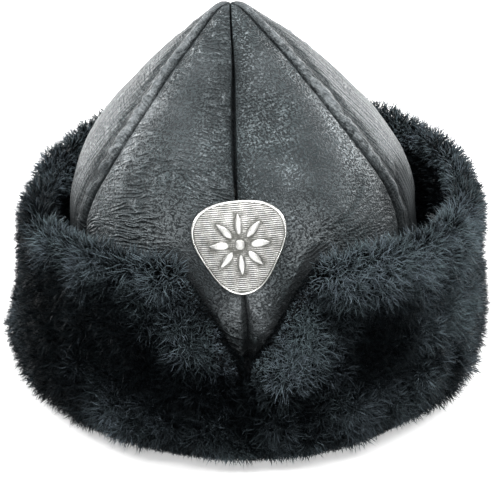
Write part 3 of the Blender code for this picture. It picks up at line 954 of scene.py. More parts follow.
def remap(value, low, high, new_low=0.0, new_high=1.0):
    """The value moved from one range to another and held within it."""
    inputs = {"Value": value, 1: low, 2: high, 3: new_low, 4: new_high}
    return add_node(value.tree, "ShaderNodeMapRange", inputs, clamp=True)


def mix_colour(share, first, second):
    """A colour between two others."""
    return add_node(share.tree, "ShaderNodeMix", {0: share, 6: first, 7: second}, 2, data_type="RGBA")


def noise_at(place, scale, detail, distortion=0.0, output="Fac"):
    """Noise at a place, as a number or a colour."""
    inputs = {"Vector": place, "Scale": scale, "Detail": detail, "Distortion": distortion}
    return add_node(place.tree, "ShaderNodeTexNoise", inputs, output)


def bumped(height, strength):
    """The normal of a surface with that bump height, in metres."""
    return add_node(height.tree, "ShaderNodeBump", {"Strength": strength, "Distance": 1.0, "Height": height})


def object_place(tree):
    """The Object coordinates inside a material."""
    return add_node(tree, "ShaderNodeTexCoord", output="Object")


def attribute_values(tree, *names):
    """The values of point attributes inside a material."""
    return [add_node(tree, "ShaderNodeAttribute", output="Fac", attribute_name=name) for name in names]


def new_material(name):
    """A material with an empty Principled shader, and its tree."""
    made = bpy.data.materials.new(name)
    made.use_nodes = True
    return made, made.node_tree


def shaded(made, inputs):
    """The material, once its Principled shader has these inputs."""
    set_inputs(made.node_tree.nodes["Principled BSDF"], inputs)
    return made


def leather_material():
    """Black grained leather: pebbles, fine wrinkles, lines along the side panels, rubbed high places, and
    painted highlights and shade.
    """
    made, tree = new_material("black_leather")
    place = object_place(tree)
    across, along, seam, fold = attribute_values(tree, "across", "along", "seam_distance", "fold")
    painted_light_and_shade, wrinkled, lined, grain_side = attribute_values(tree, "painted_light_and_shade", "wrinkled", "lined", "grain_side")

    # pebbles, weaker on the side panels and where the leather is wrinkled
    turned_place = add_node(tree, "ShaderNodeMapping", {"Vector": place, "Rotation": (0.6, 0.5, 0.4)})
    grain = remap(noise_at(turned_place, GRAIN_SCALE, 0.5, 0.5), 0.41, 0.57)
    grain = grain * ((1.0 - lined * 0.6) * (1.0 - wrinkled * 0.30))

    # wrinkles that run across a panel, in patches, and lines that run down the side panels
    wavy_shift = (noise_at(place, 45.0, 2.0) - 0.5) * 0.007
    line_across = along - across * (0.10 - across * 6.0)
    line_along = across + along * 0.2
    across_scale, along_scale = WRINKLE_SCALES
    spot = combined((line_across + wavy_shift) * across_scale, line_along * along_scale)
    wrinkles = noise_at(spot, 1.0, 0.0)
    ridged = maths("ABSOLUTE", wrinkles - 0.5)
    patch_share = remap(noise_at(place, PATCH_SCALE, 1.0), 0.38, 0.62, 0.10, 1.0)
    across_scale, along_scale = SIDE_LINE_SCALES
    side_lines = noise_at(combined(across * across_scale, along * along_scale), 1.0, 2.0)
    height = grain * GRAIN_HEIGHT + ridged * wrinkled * -WRINKLE_HEIGHT * patch_share
    height = height + side_lines * lined * SIDE_LINE_HEIGHT

    dark, light = (0.018, 0.024, 0.026, 1), (0.062, 0.078, 0.082, 1)
    painted_highlight, painted_shade = (0.26, 0.28, 0.29, 1), (0.002, 0.0023, 0.0026, 1)
    painted_crest_highlight, painted_pit_shade = (0.13, 0.145, 0.152, 1), (0.0015, 0.0018, 0.0021, 1)
    fold_tone, painted_seam_shade = (0.090, 0.099, 0.105, 1), (0.003, 0.003, 0.0035, 1)
    flesh_dark, flesh_light = (0.030, 0.026, 0.023, 1), (0.085, 0.076, 0.068, 1)

    # colour, from the mottled ground up to the seams with highlights and shade painted in, and the plain
    # flesh side
    mottling = noise_at(place, MOTTLE_SCALE, 3.0)
    # painted highlights on the wrinkles' crests, and painted shade in their valleys and in the grain's pits
    crest_highlights = remap(ridged, 0.0, 0.045, 0.8, 0.0) * wrinkled * patch_share
    valley_shade = remap(ridged, 0.07, 0.17, 0.0, 0.55) * wrinkled
    shaded_pits = maths("MAXIMUM", 1.0 - grain - crest_highlights, valley_shade)
    shaded_pits = maths("MAXIMUM", shaded_pits, 0.0) * remap(painted_light_and_shade, 0.4, 1.6, 1.0, 0.4)
    rubbed = remap(fold, 0.0002, -0.0009, 0.0, 0.55)
    colour = mix_colour(remap(mottling, 0.3, 0.7), dark, light)
    for layer, tone in (
        # painted highlights, then painted shade
        (remap(painted_light_and_shade, 0.0, 1.0, 0.0, 0.8), painted_highlight),
        (remap(painted_light_and_shade, 0.0, -1.6, 0.0, 0.95), painted_shade),
        (crest_highlights, painted_crest_highlight),
        (shaded_pits, painted_pit_shade),
        (rubbed, fold_tone),
        # painted shade in the seams' slits
        (remap(seam, 0.0, 0.0008, 0.9, 0.0), painted_seam_shade),
    ):
        colour = mix_colour(layer, colour, tone)
    flesh = mix_colour(noise_at(place, FLESH_SCALE, 4.0), flesh_dark, flesh_light)

    gloss = remap(mottling, 0.3, 0.7, 0.20, 0.26) - rubbed * 0.14 + shaded_pits * 0.40
    gloss = gloss + remap(painted_light_and_shade, 0.0, -1.0, 0.0, 0.16) + remap(painted_light_and_shade, -1.0, -2.5, 0.0, 0.5)
    inputs = {
        "Base Color": mix_colour(grain_side, flesh, colour),
        "Normal": bumped(height, 0.9),
        "Roughness": maths("MAXIMUM", gloss, 0.92 - grain_side),
        "Specular IOR Level": 0.42,
        "Specular Tint": (0.84, 0.95, 1.0, 1),
    }
    return shaded(made, inputs)


def station_turns(count):
    """How far each of a half cuff's stations is turned from the front. They crowd together at the notch."""
    samples, crowding, spread = 1440, 1.7, 20.0
    turns = np.linspace(0, 180, samples)
    passed = np.concatenate(([0.0], np.cumsum(1 + crowding * bell(turns[1:], spread))))
    return np.interp(np.linspace(0, passed[-1], count + 1), passed, turns)


def notch_distance(azimuth):
    """The signed distance along the cuff from the middle of its front notch."""
    return np.radians(turn_between(FRONT, azimuth)) * NOTCH_RADIUS


def notch_run(distance):
    """The length of the notch's slope on the side where a distance lies."""
    return np.where(distance > 0, NOTCH_SLOPE_RUNS[1], NOTCH_SLOPE_RUNS[0])


def rim_height(azimuth):
    """The height of the cuff's rim, with the notch taken out of it."""
    full = CUFF_HEIGHT
    for rise_azimuth, rise, spread in RIM_RISES + FUR_RIM_RISES:
        full = full + rise * MM * bell(turn_between(rise_azimuth, azimuth), spread)
    distance = notch_distance(azimuth)
    share = (np.abs(distance) - NOTCH_FLOOR_HALF_WIDTH) / notch_run(distance)
    climb = 0.4 * smoothstep(0, 1, share) + 0.6 * np.clip(share, 0, 1)
    return NOTCH_FLOOR + (full - NOTCH_FLOOR) * climb


def cuff_section(azimuth):
    """The cuff's closed section at each azimuth, from the lip out and over the rim.

    Returns offsets, heights and the hide's depth under the fur, with a row for each azimuth.
    """
    shoulder = rim_height(azimuth) - RIM_ROUND_HEIGHT
    crease = NOTCH_CREASE_DEPTH * bell(notch_distance(azimuth), NOTCH_CREASE_HALF_WIDTH)
    foot_offset = table_value(CUFF_WALLS, np.array(0.0), 2) - FOOT_ROUND_WIDTH
    points = []

    def add(offset, height, depth):
        points.append(np.broadcast_arrays(offset, height, depth, azimuth)[:3])

    def outer(height):
        return table_value(CUFF_WALLS, height, 2) - crease * smoothstep(20 * MM, 46 * MM, height)

    def inner(height):
        return table_value(CUFF_WALLS, height, 1)

    # the underside of the lip
    for share in (0.0, 0.35, 0.7, 1.0):
        add(LIP_ROUND - LIP_INSET + (foot_offset + LIP_INSET - LIP_ROUND) * share, 0.0, 0.0)
    # the rounded foot
    for turn in np.linspace(10, 90, 9):
        angle = math.radians(turn)
        depth = HIDE_DEPTH * smoothstep(10, 70, turn)
        out = foot_offset + FOOT_ROUND_WIDTH * math.sin(angle)
        add(out, FOOT_ROUND_HEIGHT * (1 - math.cos(angle)), depth)
    # the outer wall
    for share in np.linspace(0, 1, 17)[1:]:
        height = FOOT_ROUND_HEIGHT + (shoulder - FOOT_ROUND_HEIGHT) * share
        add(outer(height), height, HIDE_DEPTH)
    # the rounded rim
    middle = (outer(shoulder) + inner(shoulder)) / 2
    half = (outer(shoulder) - inner(shoulder)) / 2
    for turn in np.linspace(0, 180, 15)[1:]:
        angle = math.radians(turn)
        height = shoulder + RIM_ROUND_HEIGHT * math.sin(angle)
        depth = HIDE_DEPTH + (INNER_HIDE_DEPTH - HIDE_DEPTH) * smoothstep(60, 170, turn)
        add(middle + half * math.cos(angle), height, depth)
    # the inner wall and the top of the lip
    for share in np.linspace(1, 0.06, 12)[1:]:
        height = LIP_THICKNESS + (shoulder - LIP_THICKNESS) * share
        add(inner(height), height, INNER_HIDE_DEPTH * smoothstep(0.25, 0.6, share))
    add(inner(np.array(0.0)), LIP_THICKNESS, 0.0)
    add(-LIP_INSET * 0.5, LIP_THICKNESS, 0.0)
    add(-LIP_INSET, LIP_THICKNESS - LIP_ROUND, 0.0)
    add(-LIP_INSET, LIP_ROUND, 0.0)
    return [np.stack(part, axis=-1) for part in zip(*points)]


def cuff_points(azimuth, offset, height):
    """Points at an offset from the crown's outline. The cuff leans sideways a little towards its rim."""
    angle = np.radians(azimuth)
    lean = RIM_SHIFT * smoothstep(25 * MM, CUFF_HEIGHT, height) * smoothstep(1 * MM, 6 * MM, offset)
    offset = offset + lean * np.cos(angle)
    return np.stack(
        (
            (CROWN_HALF_WIDTH + offset) * np.cos(angle),
            (CROWN_HALF_WIDTH * DEPTH_OVER_WIDTH + offset) * np.sin(angle),
            height + 0.0 * angle,
        ),
        axis=-1,
    )


def hide_grid(azimuth):
    """The hide under the fur: its points, their outward normals, and how much fur each carries."""
    offset, height, depth = cuff_section(azimuth)
    run = np.roll(offset, -1, axis=1) - np.roll(offset, 1, axis=1)
    rise = np.roll(height, -1, axis=1) - np.roll(height, 1, axis=1)
    length = np.maximum(np.hypot(run, rise), 1e-9)
    out, up = rise / length, -run / length
    turned = azimuth[:, None] + 0.0 * offset
    surface = cuff_points(turned, offset, height)
    furred = np.clip(depth / INNER_HIDE_DEPTH, 0, 1)
    lumps = bumps(FUR_LUMPS + FOOT_LUMPS, turned, height, CROWN_HALF_WIDTH + offset)
    small_tufts = SMALL_TUFT_SHARE * soft_noise(surface, SMALL_TUFT_SIZE, 7.0)
    tufts = soft_noise(surface, TUFT_SIZE, 2.0) + small_tufts
    lumps = lumps + TUFT_RISE * tufts * np.clip(depth / HIDE_DEPTH, 0, 1)
    shift = furred * lumps - depth
    offset = offset + shift * out
    height = np.maximum(0.0, height + shift * up)
    points = cuff_points(turned, offset, height)
    along = np.roll(points, -1, axis=1) - np.roll(points, 1, axis=1)
    around = np.gradient(points, axis=0)
    normals = np.cross(around, along)
    normals /= np.maximum(np.linalg.norm(normals, axis=-1, keepdims=True), 1e-12)
    outward = np.stack((out * np.cos(np.radians(turned)), out * np.sin(np.radians(turned)), up), axis=-1)
    normals *= np.where(np.sum(normals * outward, axis=-1, keepdims=True) < 0, -1.0, 1.0)
    # the fur's painted light and shade: the table's areas, lit tufts' tops, shade inside and at the notch;
    # small locks add random tone
    tone = bumps(FUR_PAINTED_LIGHT_AND_SHADE, turned, height, CROWN_HALF_WIDTH + offset) / MM
    tone = tone + TUFT_TOP_PAINTED_LIGHT * tufts + LOCK_TONE * soft_noise(surface, LOCK_SIZE, 23.0)
    column = np.arange(offset.shape[1])[None, :]
    below_rim = rim_height(turned) - height
    at_front, at_back = INNER_DARK_STARTS
    dark_from = at_front + (at_back - at_front) * smoothstep(-0.3, 0.2, np.sin(np.radians(turned)))
    inner_dark = smoothstep(dark_from, dark_from + INNER_DARK_RUN, below_rim)
    tone = tone - INNER_PAINTED_SHADE * smoothstep(*INNER_DARK_COLUMNS, column) * inner_dark
    distance = notch_distance(turned)
    run = notch_run(distance)
    cut = 1 - smoothstep(run, run + NOTCH_FUR_EDGE, np.abs(distance))
    tone = tone - NOTCH_FUR_PAINTED_SHADE * cut * smoothstep(*NOTCH_DARK_COLUMNS, column)
    cut = cut * smoothstep(*NOTCH_SHORT_COLUMNS, column)
    return points, normals, depth / HIDE_DEPTH, furred, tone, cut


def make_hide(side, finish):
    """The dark hide of half the cuff, from the front crease to the back seam: side 1 is at +X, -1 at -X."""
    azimuth = FRONT + side * station_turns(HALF_CUFF_STATIONS)
    points = hide_grid(azimuth)[0]
    stations, count = points.shape[:2]
    last = tuple((stations - 1) * count + row for row in range(count))
    faces = ring_faces(stations, count) + [tuple(range(count)), last[::-1]]
    if side == -1:
        faces = [face[::-1] for face in faces]
    name = "right" if side == 1 else "left"
    data = mesh_from(f"cuff_hide_{name}", points, faces)
    add_piece(f"cuff_hide_{name}", data, finish, "fur", f"fur_cuff_{name}", sharp_from=60)


def hide_material():
    """The black hide, felted with underfur."""
    made, tree = new_material("black_hide")
    felt = noise_at(object_place(tree), 700.0, 4.0)
    inputs = {
        "Base Color": mix_colour(felt, (0.0015, 0.0017, 0.002, 1), (0.006, 0.007, 0.008, 1)),
        "Roughness": remap(felt, 0.3, 0.7, 0.85, 1.0),
        "Normal": bumped(felt * FELT_HEIGHT, 1.0),
        "Specular IOR Level": 0.2,
    }
    return shaded(made, inputs)


def new_geometry_tree(name, sockets):
    """A Geometry Nodes tree with a geometry going in and out: the tree, its named inputs and its output."""
    tree = bpy.data.node_groups.new(name, "GeometryNodeTree")
    for label, kind in {"Geometry": "Geometry", **sockets}.items():
        tree.interface.new_socket(label, in_out="INPUT", socket_type=f"NodeSocket{kind}")
    tree.interface.new_socket("Geometry", in_out="OUTPUT", socket_type="NodeSocketGeometry")
    given = {socket.name: Signal(socket) for socket in tree.nodes.new("NodeGroupInput").outputs}
    return tree, given, tree.nodes.new("NodeGroupOutput").inputs[0]


def send_out(geometry, material, out):
    """Sends a geometry out of its tree, realized and with its material. Returns the tree."""
    tree = geometry.tree
    real = add_node(tree, "GeometryNodeRealizeInstances", {"Geometry": geometry})
    made = add_node(tree, "GeometryNodeSetMaterial", {"Geometry": real, "Material": material})
    tree.links.new(made.socket, out)
    return tree


def run_tree(name, data, tree, values):
    """A plain mesh, made by a Geometry Nodes tree from a mesh and the tree's named inputs."""
    source = bpy.data.objects.new(name, data)
    bpy.context.scene.collection.objects.link(source)
    modifier = source.modifiers.new(name, "NODES")
    modifier.node_group = tree
    for item in tree.interface.items_tree:
        if item.in_out == "INPUT" and item.name in values:
            modifier[item.identifier] = values[item.name]
    graph = bpy.context.evaluated_depsgraph_get()
    made = bpy.data.meshes.new_from_object(source.evaluated_get(graph))
    bpy.data.objects.remove(source)
    bpy.data.meshes.remove(data)
    made.name = name
    return made


def named_value(tree, name, kind="FLOAT"):
    """The value of a point attribute inside a Geometry Nodes tree."""
    return add_node(tree, "GeometryNodeInputNamedAttribute", {"Name": name}, "Attribute", data_type=kind)


def store(geometry, name, value):
    """The geometry with a number stored at each point."""
    inputs = {"Geometry": geometry, "Name": name, "Value": value}
    kind = "GeometryNodeStoreNamedAttribute"
    return add_node(geometry.tree, kind, inputs, data_type="FLOAT", domain="POINT")


def random_value(low, high, seed, salt, kind="FLOAT"):
    """A random number or vector for each point."""
    inputs = {"Seed": seed + float(salt)}
    node = add_node(seed.tree, "FunctionNodeRandomValue", inputs, data_type=kind).socket.node
    low_input, high_input = [s for s in node.inputs if s.enabled and s.name in ("Min", "Max")]
    low_input.default_value, high_input.default_value = low, high
    return Signal(next(s for s in node.outputs if s.enabled))


def without_part_along(vector, normal):
    """The vector with its part along the normal taken out."""
    along = vector_maths("DOT_PRODUCT", vector, normal)
    return vector_maths("SUBTRACT", vector, vector_maths("SCALE", normal, along))


def fur_tree():
    """Strands on a hide: bent tapered ribbons that gather in tufts and lie over as they are combed."""
    sockets = {**dict.fromkeys(STRAND_SIZES, "Float"), "Seed": "Int", "Material": "Material"}
    tree, given, out = new_geometry_tree("fur_strands", sockets)
    seed, strand_length = given["Seed"], given["Strand Length"]

    density = given["Density"] * named_value(tree, "fur_density")
    inputs = {"Mesh": given["Geometry"], "Density": density, "Seed": seed}
    roots = add_node(tree, "GeometryNodeDistributePointsOnFaces", inputs, distribute_method="RANDOM")

    place = add_node(tree, "GeometryNodeInputPosition")
    x, y, z = separated(place)
    normal = named_value(tree, "hide_normal", "FLOAT_VECTOR")
    inputs = {"Vector": place, "Scale": 1.0 / given["Tuft Size"]}
    tuft_centre = add_node(tree, "ShaderNodeTexVoronoi", inputs, "Position")
    tuft_draw = tuft_centre.output("Color")
    pull = without_part_along(vector_maths("SUBTRACT", tuft_centre, place), normal)
    comb = noise_at(place, 1.0 / given["Comb Size"], 1.0, output="Color")
    comb = without_part_along(vector_maths("SUBTRACT", comb, (0.5, 0.5, 0.5)), normal)
    stray = random_value((-1, -1, -1), (1, 1, 1), seed, 11, "FLOAT_VECTOR")
    direction = normal
    for lean, strength in (
        (pull, given["Tuft Pull"] / strand_length),
        (comb, given["Comb Pull"]),
        (stray, given["Stray"]),
    ):
        direction = vector_maths("ADD", direction, vector_maths("SCALE", lean, strength))

    varied = random_value(-1.0, 1.0, seed, 23) * given["Length Variation"]
    varied = varied + (maths("FRACT", tuft_draw * 7.0) - 0.5) * TUFT_LENGTH_VARIATION
    length = strand_length * (1.0 + varied) * named_value(tree, "fur_length")
    roots = store(roots, "strand_shade", random_value(0.0, 1.0, seed, 31))
    roots = store(roots, "tuft_shade", maths("FRACT", tuft_draw * 13.0))

    share = maths("POWER", y + 0.5, STRAND_MIDDLE_POWER)
    narrowed = x * (1.0 - maths("POWER", share, STRAND_TAPER_POWER))
    shaped = combined(narrowed, share * share * given["Strand Bend"], share)
    inputs = {"Size X": 1.0, "Size Y": 1.0, "Vertices X": 2, "Vertices Y": 3}
    strand = store(add_node(tree, "GeometryNodeMeshGrid", inputs), "strand_share", share)
    strand = add_node(tree, "GeometryNodeSetPosition", {"Geometry": strand, "Position": shaped})
    strand = add_node(tree, "GeometryNodeMergeByDistance", {"Geometry": strand, "Distance": 0.001})

    turned = add_node(tree, "FunctionNodeAlignRotationToVector", {"Vector": direction}, axis="Z")
    inputs = {"Axis": (0, 0, 1), "Angle": random_value(0.0, math.tau, seed, 43)}
    twist = add_node(tree, "FunctionNodeAxisAngleToRotation", inputs)
    inputs = {"Rotation": turned, "Rotate By": twist}
    turned = add_node(tree, "FunctionNodeRotateRotation", inputs, rotation_space="LOCAL")
    scale = combined(given["Strand Width"], length, length)
    inputs = {"Points": roots, "Instance": strand, "Rotation": turned, "Scale": scale}
    made = add_node(tree, "GeometryNodeInstanceOnPoints", inputs)
    made = add_node(tree, "GeometryNodeRealizeInstances", {"Geometry": made})
    lifted = combined(x, y, maths("MAXIMUM", z, given["Floor Height"]))
    made = add_node(tree, "GeometryNodeSetPosition", {"Geometry": made, "Position": lifted})
    return send_out(made, given["Material"], out)


def make_fur(sector, tree, finish):
    """The strands of one sixth of the cuff."""
    start = FRONT + sector * SECTOR_TURN
    azimuth = np.linspace(start, start + SECTOR_TURN, SECTOR_STATIONS + 1)
    points, normals, depth, furred, tone, cut = [part[:, FURRED_COLUMNS] for part in hide_grid(azimuth)]
    rows = points.shape[1]
    data = mesh_from("hide_sector", points, grid_faces(len(azimuth), rows))
    outer_share = smoothstep(INNER_HIDE_DEPTH / HIDE_DEPTH, 1.0, depth)
    length = INNER_STRAND_SHARE + (1 - INNER_STRAND_SHARE) * outer_share
    length = length * (1 - (1 - NOTCH_STRAND_SHARE) * cut)
    length = length * (SHORTEST_STRAND_SHARE + (1 - SHORTEST_STRAND_SHARE) * furred)
    density = INNER_DENSITY_SHARE + (1 - INNER_DENSITY_SHARE) * outer_share
    set_attribute(data, "fur_length", length)
    set_attribute(data, "fur_painted_light_and_tone", tone)
    set_attribute(data, "fur_density", np.where(furred > 0.02, density, 0.0))
    set_attribute(data, "hide_normal", normals, "FLOAT_VECTOR")
    values = {**STRAND_SIZES, "Seed": FIRST_SEED + sector, "Material": finish}
    name = f"fur_{FUR_SECTORS[sector]}"
    add_piece(name, run_tree(name, data, tree, values), finish, "fur")


def fur_material():
    """Black fur: roots painted dark as shade, blue-grey tips on some strands, painted light and shade over
    areas, and tufts of uneven tone.
    """
    made, tree = new_material("black_fur")
    names = ("strand_share", "strand_shade", "tuft_shade", "fur_painted_light_and_tone")
    share, strand, tuft, area_light_and_tone = attribute_values(tree, *names)
    # roots painted nearly black as shade deep in the fur; tips lit only near their ends, by the painted light
    # of each area
    root, tip = (0.0004, 0.0005, 0.0006, 1), (0.0010, 0.0013, 0.0016, 1)
    greenish, bluish = (0.165, 0.222, 0.236, 1), (0.174, 0.214, 0.252, 1)
    painted_tip_light = maths("POWER", remap(tuft * 0.5 + area_light_and_tone * 0.9, -0.20, 1.14), 1.8)
    painted_tip_light = remap(strand, 0.0, 1.0, 0.24, 0.92) * painted_tip_light * remap(share, 0.50, 0.97)
    colour = mix_colour(maths("POWER", share, 2.0), root, tip)
    inputs = {
        "Base Color": mix_colour(painted_tip_light, colour, mix_colour(tuft, greenish, bluish)),
        "Roughness": remap(strand, 0.0, 1.0, 0.30, 0.50),
        "Specular IOR Level": 0.05,
        "Specular Tint": (0.65, 0.88, 1.0, 1),
    }
    return shaded(made, inputs)


def crown_depth_at(across, height):
    """The depth, along Y, of the crown's smooth front surface at sideways places and heights."""
    half_width = table_value(CROWN_PROFILE, height)
    share = (across - axis_shift(height)) / half_width
    return -half_width * DEPTH_OVER_WIDTH * np.sqrt(np.maximum(0.0, 1 - share * share))


def badge_points(across, up, out):
    """Points of the badge, from its flat drawing to their domed places over the crown."""
    turn = math.radians(BADGE_TURN)
    side_shift = across * math.cos(turn) - up * math.sin(turn)
    up_shift = across * math.sin(turn) + up * math.cos(turn)
    heights = BADGE_HEIGHT_ON_CROWN + np.array((-8, 0, 8)) * MM
    low, centre, high = crown_points(FRONT, heights)
    centre = centre + (BADGE_SIDE_SHIFT, 0, 0)
    upward = np.array((0, high[1] - low[1], high[2] - low[2]))
    upward /= np.linalg.norm(upward)
    side = np.array((1.0, 0.0, 0.0))
    normal = np.cross(side, upward)
    spot = centre + side_shift[..., None] * side + up_shift[..., None] * upward
    for _ in range(8):
        behind = (crown_depth_at(spot[..., 0], spot[..., 2]) - spot[..., 1]) * normal[1]
        spot = spot + behind[..., None] * normal
    return spot + (GAP + np.asarray(out))[..., None] * normal


def badge_outline(angle, share):
    """Flat places at angles from the badge's top, at a share of the way out to its outline."""
    waves = sum(size * MM * np.cos(order * angle) for order, size in BADGE_HARMONICS)
    radius = share * (BADGE_MEAN_RADIUS + waves)
    return -radius * np.sin(angle), radius * np.cos(angle)


def make_badge_plate(finish):
    """The domed plate with its rounded rim."""
    angle = np.linspace(0, math.tau, BADGE_SECTORS, endpoint=False)
    rings = np.array(BADGE_RINGS)
    across, up = badge_outline(angle, rings[:, :1])
    out = np.broadcast_to(rings[:, 1:] * MM, up.shape)
    points = badge_points(across, up, out).reshape(-1, 3)
    hubs = badge_points(np.zeros(2), np.zeros(2), np.array((BADGE_THICKNESS, 0.0)))
    count = BADGE_SECTORS
    faces = ring_faces(len(rings), count) + fan_faces(len(points), 0, count)
    faces += fan_faces(len(points) + 1, len(points) - count, count, flip=True)
    data = mesh_from("badge_plate", np.concatenate((points, hubs)), faces)
    share = np.concatenate((np.repeat(rings[:, 0], count), (0.0, 0.0)))
    ground = BADGE_THICKNESS / MM
    raised = np.concatenate((np.repeat(rings[:, 1], count), (ground, 0.0)))
    rim = np.clip((raised - ground) / RIM_POLISH_RISE, 0, 1)
    set_attribute(data, "polish", np.where(share > RIM_STARTS, RIM_POLISH * rim, 0.0))
    add_piece("badge_plate", data, finish, "silver", "badge", sharp_from=50)


def hatch_lines():
    """The flat centre lines of the hatching: level rows across the badge's ground, slightly wavy."""
    angles = np.linspace(0, math.tau, 721)
    outline_across, outline_up = badge_outline(angles, HATCH_EDGE_SHARE)
    points, edges = [], []
    rows = int(outline_up.max() / HATCH_SPACING)
    for row in range(int(outline_up.min() / HATCH_SPACING), rows + 1):
        up = (row + 0.5) * HATCH_SPACING
        crossing = np.nonzero(np.diff(np.sign(outline_up - up)))[0]
        if len(crossing) < 2:
            continue
        ends = sorted(outline_across[i] for i in crossing)
        start, end = ends[0] + HATCH_END_GAP, ends[-1] - HATCH_END_GAP
        count = max(3, round((end - start) / HATCH_STEP))
        for i in range(count + 1):
            across = start + (end - start) * i / count
            wobble = HATCH_WOBBLE * noise.noise((across / HATCH_WOBBLE_SIZE, row * 3.7, 0.0))
            points.append((across, up + wobble, BADGE_THICKNESS))
            if i:
                edges.append((len(points) - 2, len(points) - 1))
    return points, edges


def rib_tree():
    """Low ribs with a rounded back along lines."""
    sockets = {"Rib Width": "Float", "Rib Rise": "Float", "Material": "Material"}
    tree, given, out = new_geometry_tree("hatch_ribs", sockets)
    curve = add_node(tree, "GeometryNodeMeshToCurve", {"Mesh": given["Geometry"]})
    inputs = {"Resolution": 6, "Radius": 1.0}
    circle = add_node(tree, "GeometryNodeCurvePrimitiveCircle", inputs, mode="RADIUS")
    scale = combined(given["Rib Width"] * 0.5, given["Rib Rise"], 1.0)
    profile = add_node(tree, "GeometryNodeTransform", {"Geometry": circle, "Scale": scale})
    inputs = {"Curve": curve, "Profile Curve": profile, "Fill Caps": True}
    ribs = add_node(tree, "GeometryNodeCurveToMesh", inputs)
    return send_out(ribs, given["Material"], out)


def dome(data):
    """Moves a flat drawing of the badge onto its dome, and keeps each point's rise for the polish."""
    flat = points_of(data).astype(float)
    domed = badge_points(flat[:, 0], flat[:, 1], flat[:, 2])
    data.vertices.foreach_set("co", domed.astype(np.float32).ravel())
    data.update()
    return (flat[:, 2] - BADGE_THICKNESS) / MM


def make_hatching(finish):
    """The fine level ribs of the badge's ground."""
    points, edges = hatch_lines()
    data = bpy.data.meshes.new("hatch_lines")
    data.from_pydata(points, edges, [])
    values = {"Rib Width": HATCH_WIDTH, "Rib Rise": HATCH_RISE, "Material": finish}
    made = run_tree("badge_hatching", data, rib_tree(), values)
    flat = points_of(made)
    reach = np.hypot(flat[:, 0], flat[:, 1])
    step = math.tau / PETALS
    off_axis = (np.arctan2(flat[:, 1], flat[:, 0]) + step / 2) % step - step / 2
    aside = reach * np.abs(np.sin(off_axis)) - 0.8 * PETAL_HALF_WIDTH
    beyond = np.maximum(reach - PETAL_END, PETAL_START * 0.4 - reach)
    clear = smoothstep(0.0, HATCH_CLEARANCE, np.maximum(aside, beyond))
    backs = np.clip(dome(made) / HATCH_POLISH_RISE, 0, 1)
    set_attribute(made, "polish", backs * HATCH_POLISH * (0.15 + 0.85 * clear))
    add_piece("badge_hatching", made, finish, "silver")


def petal_mesh():
    """One flat-bottomed leaf along +X with a rounded back, closed underneath."""
    steps, sides = 14, 8
    points = []
    for i in range(1, steps):
        share = i / steps
        half = PETAL_HALF_WIDTH * math.sin(math.pi * share**0.8) ** 0.85
        for j in range(sides + 1):
            across = -1 + 2 * j / sides
            rise = PETAL_RISE * (1 - across * across) ** 0.6 * math.sin(math.pi * share) ** 0.4
            vein = PETAL_VEIN * math.exp(-((across / 0.16) ** 2)) * math.sin(math.pi * share)
            low = -PETAL_SINK if abs(across) == 1 else 0.0
            x = PETAL_START + (PETAL_END - PETAL_START) * share
            points.append((x, half * across, BADGE_THICKNESS + max(low, rise - vein) + low))
    count, hub = sides + 1, len(points)
    faces = ring_faces(steps - 1, count) + fan_faces(hub, 0, count)
    faces += fan_faces(hub + 1, hub - count, count, flip=True)
    points += [(x, 0, BADGE_THICKNESS - PETAL_SINK) for x in (PETAL_START, PETAL_END)]
    return mesh_from("petal", np.array(points), faces)


def rosette_tree():
    """Copies of a leaf turned evenly round the badge's middle, and a round boss."""
    sockets = {"Petals": "Int", "Boss Radius": "Float", "Boss Rise": "Float", "Material": "Material"}
    tree, given, out = new_geometry_tree("rosette", sockets)
    spots = add_node(tree, "GeometryNodePoints", {"Count": given["Petals"]})
    turn = add_node(tree, "GeometryNodeInputIndex") * math.tau / given["Petals"]
    rotation = add_node(tree, "ShaderNodeCombineXYZ", {2: turn})
    inputs = {"Points": spots, "Instance": given["Geometry"], "Rotation": rotation}
    ring = add_node(tree, "GeometryNodeInstanceOnPoints", inputs)
    ball = add_node(tree, "GeometryNodeMeshUVSphere", {"Segments": 28, "Rings": 14, "Radius": 1.0})
    scale = combined(given["Boss Radius"], given["Boss Radius"], given["Boss Rise"])
    inputs = {"Geometry": ball, "Translation": (0, 0, BADGE_THICKNESS), "Scale": scale}
    boss = add_node(tree, "GeometryNodeTransform", inputs)
    both = add_node(tree, "GeometryNodeJoinGeometry")
    for part in (boss, ring):
        tree.links.new(part.socket, both.socket.node.inputs[0])
    return send_out(both, given["Material"], out)


def make_rosette(finish):
    """The eight leaves and the boss in the middle of the badge."""
    values = {"Petals": PETALS, "Boss Radius": BOSS_RADIUS, "Boss Rise": BOSS_RISE, "Material": finish}
    made = run_tree("badge_rosette", petal_mesh(), rosette_tree(), values)
    set_attribute(made, "polish", LEAF_POLISH * smoothstep(*LEAF_POLISH_RISES, dome(made)))
    add_piece("badge_rosette", made, finish, "silver", sharp_from=60)


def silver_material():
    """Antique silver plate: bright where it is rubbed, darkened in the low ground."""
    made, tree = new_material("antique_silver")
    place = object_place(tree)
    (polish,) = attribute_values(tree, "polish")
    cloud, grit = noise_at(place, 260.0, 4.0), noise_at(place, 1900.0, 3.0)
    shine = polish + (cloud - 0.5) * 0.7 + (grit - 0.5) * 0.5
    tarnish, bare = (0.12, 0.12, 0.11, 1), (0.72, 0.72, 0.70, 1)
    inputs = {
        "Base Color": mix_colour(remap(shine, 0.0, 0.6), tarnish, bare),
        "Roughness": remap(shine, 0.0, 1.0, 0.55, 0.24),
        "Metallic": 1.0,
        "Normal": bumped(grit * GRIT_HEIGHT, 0.6),
    }
    return shaded(made, inputs)


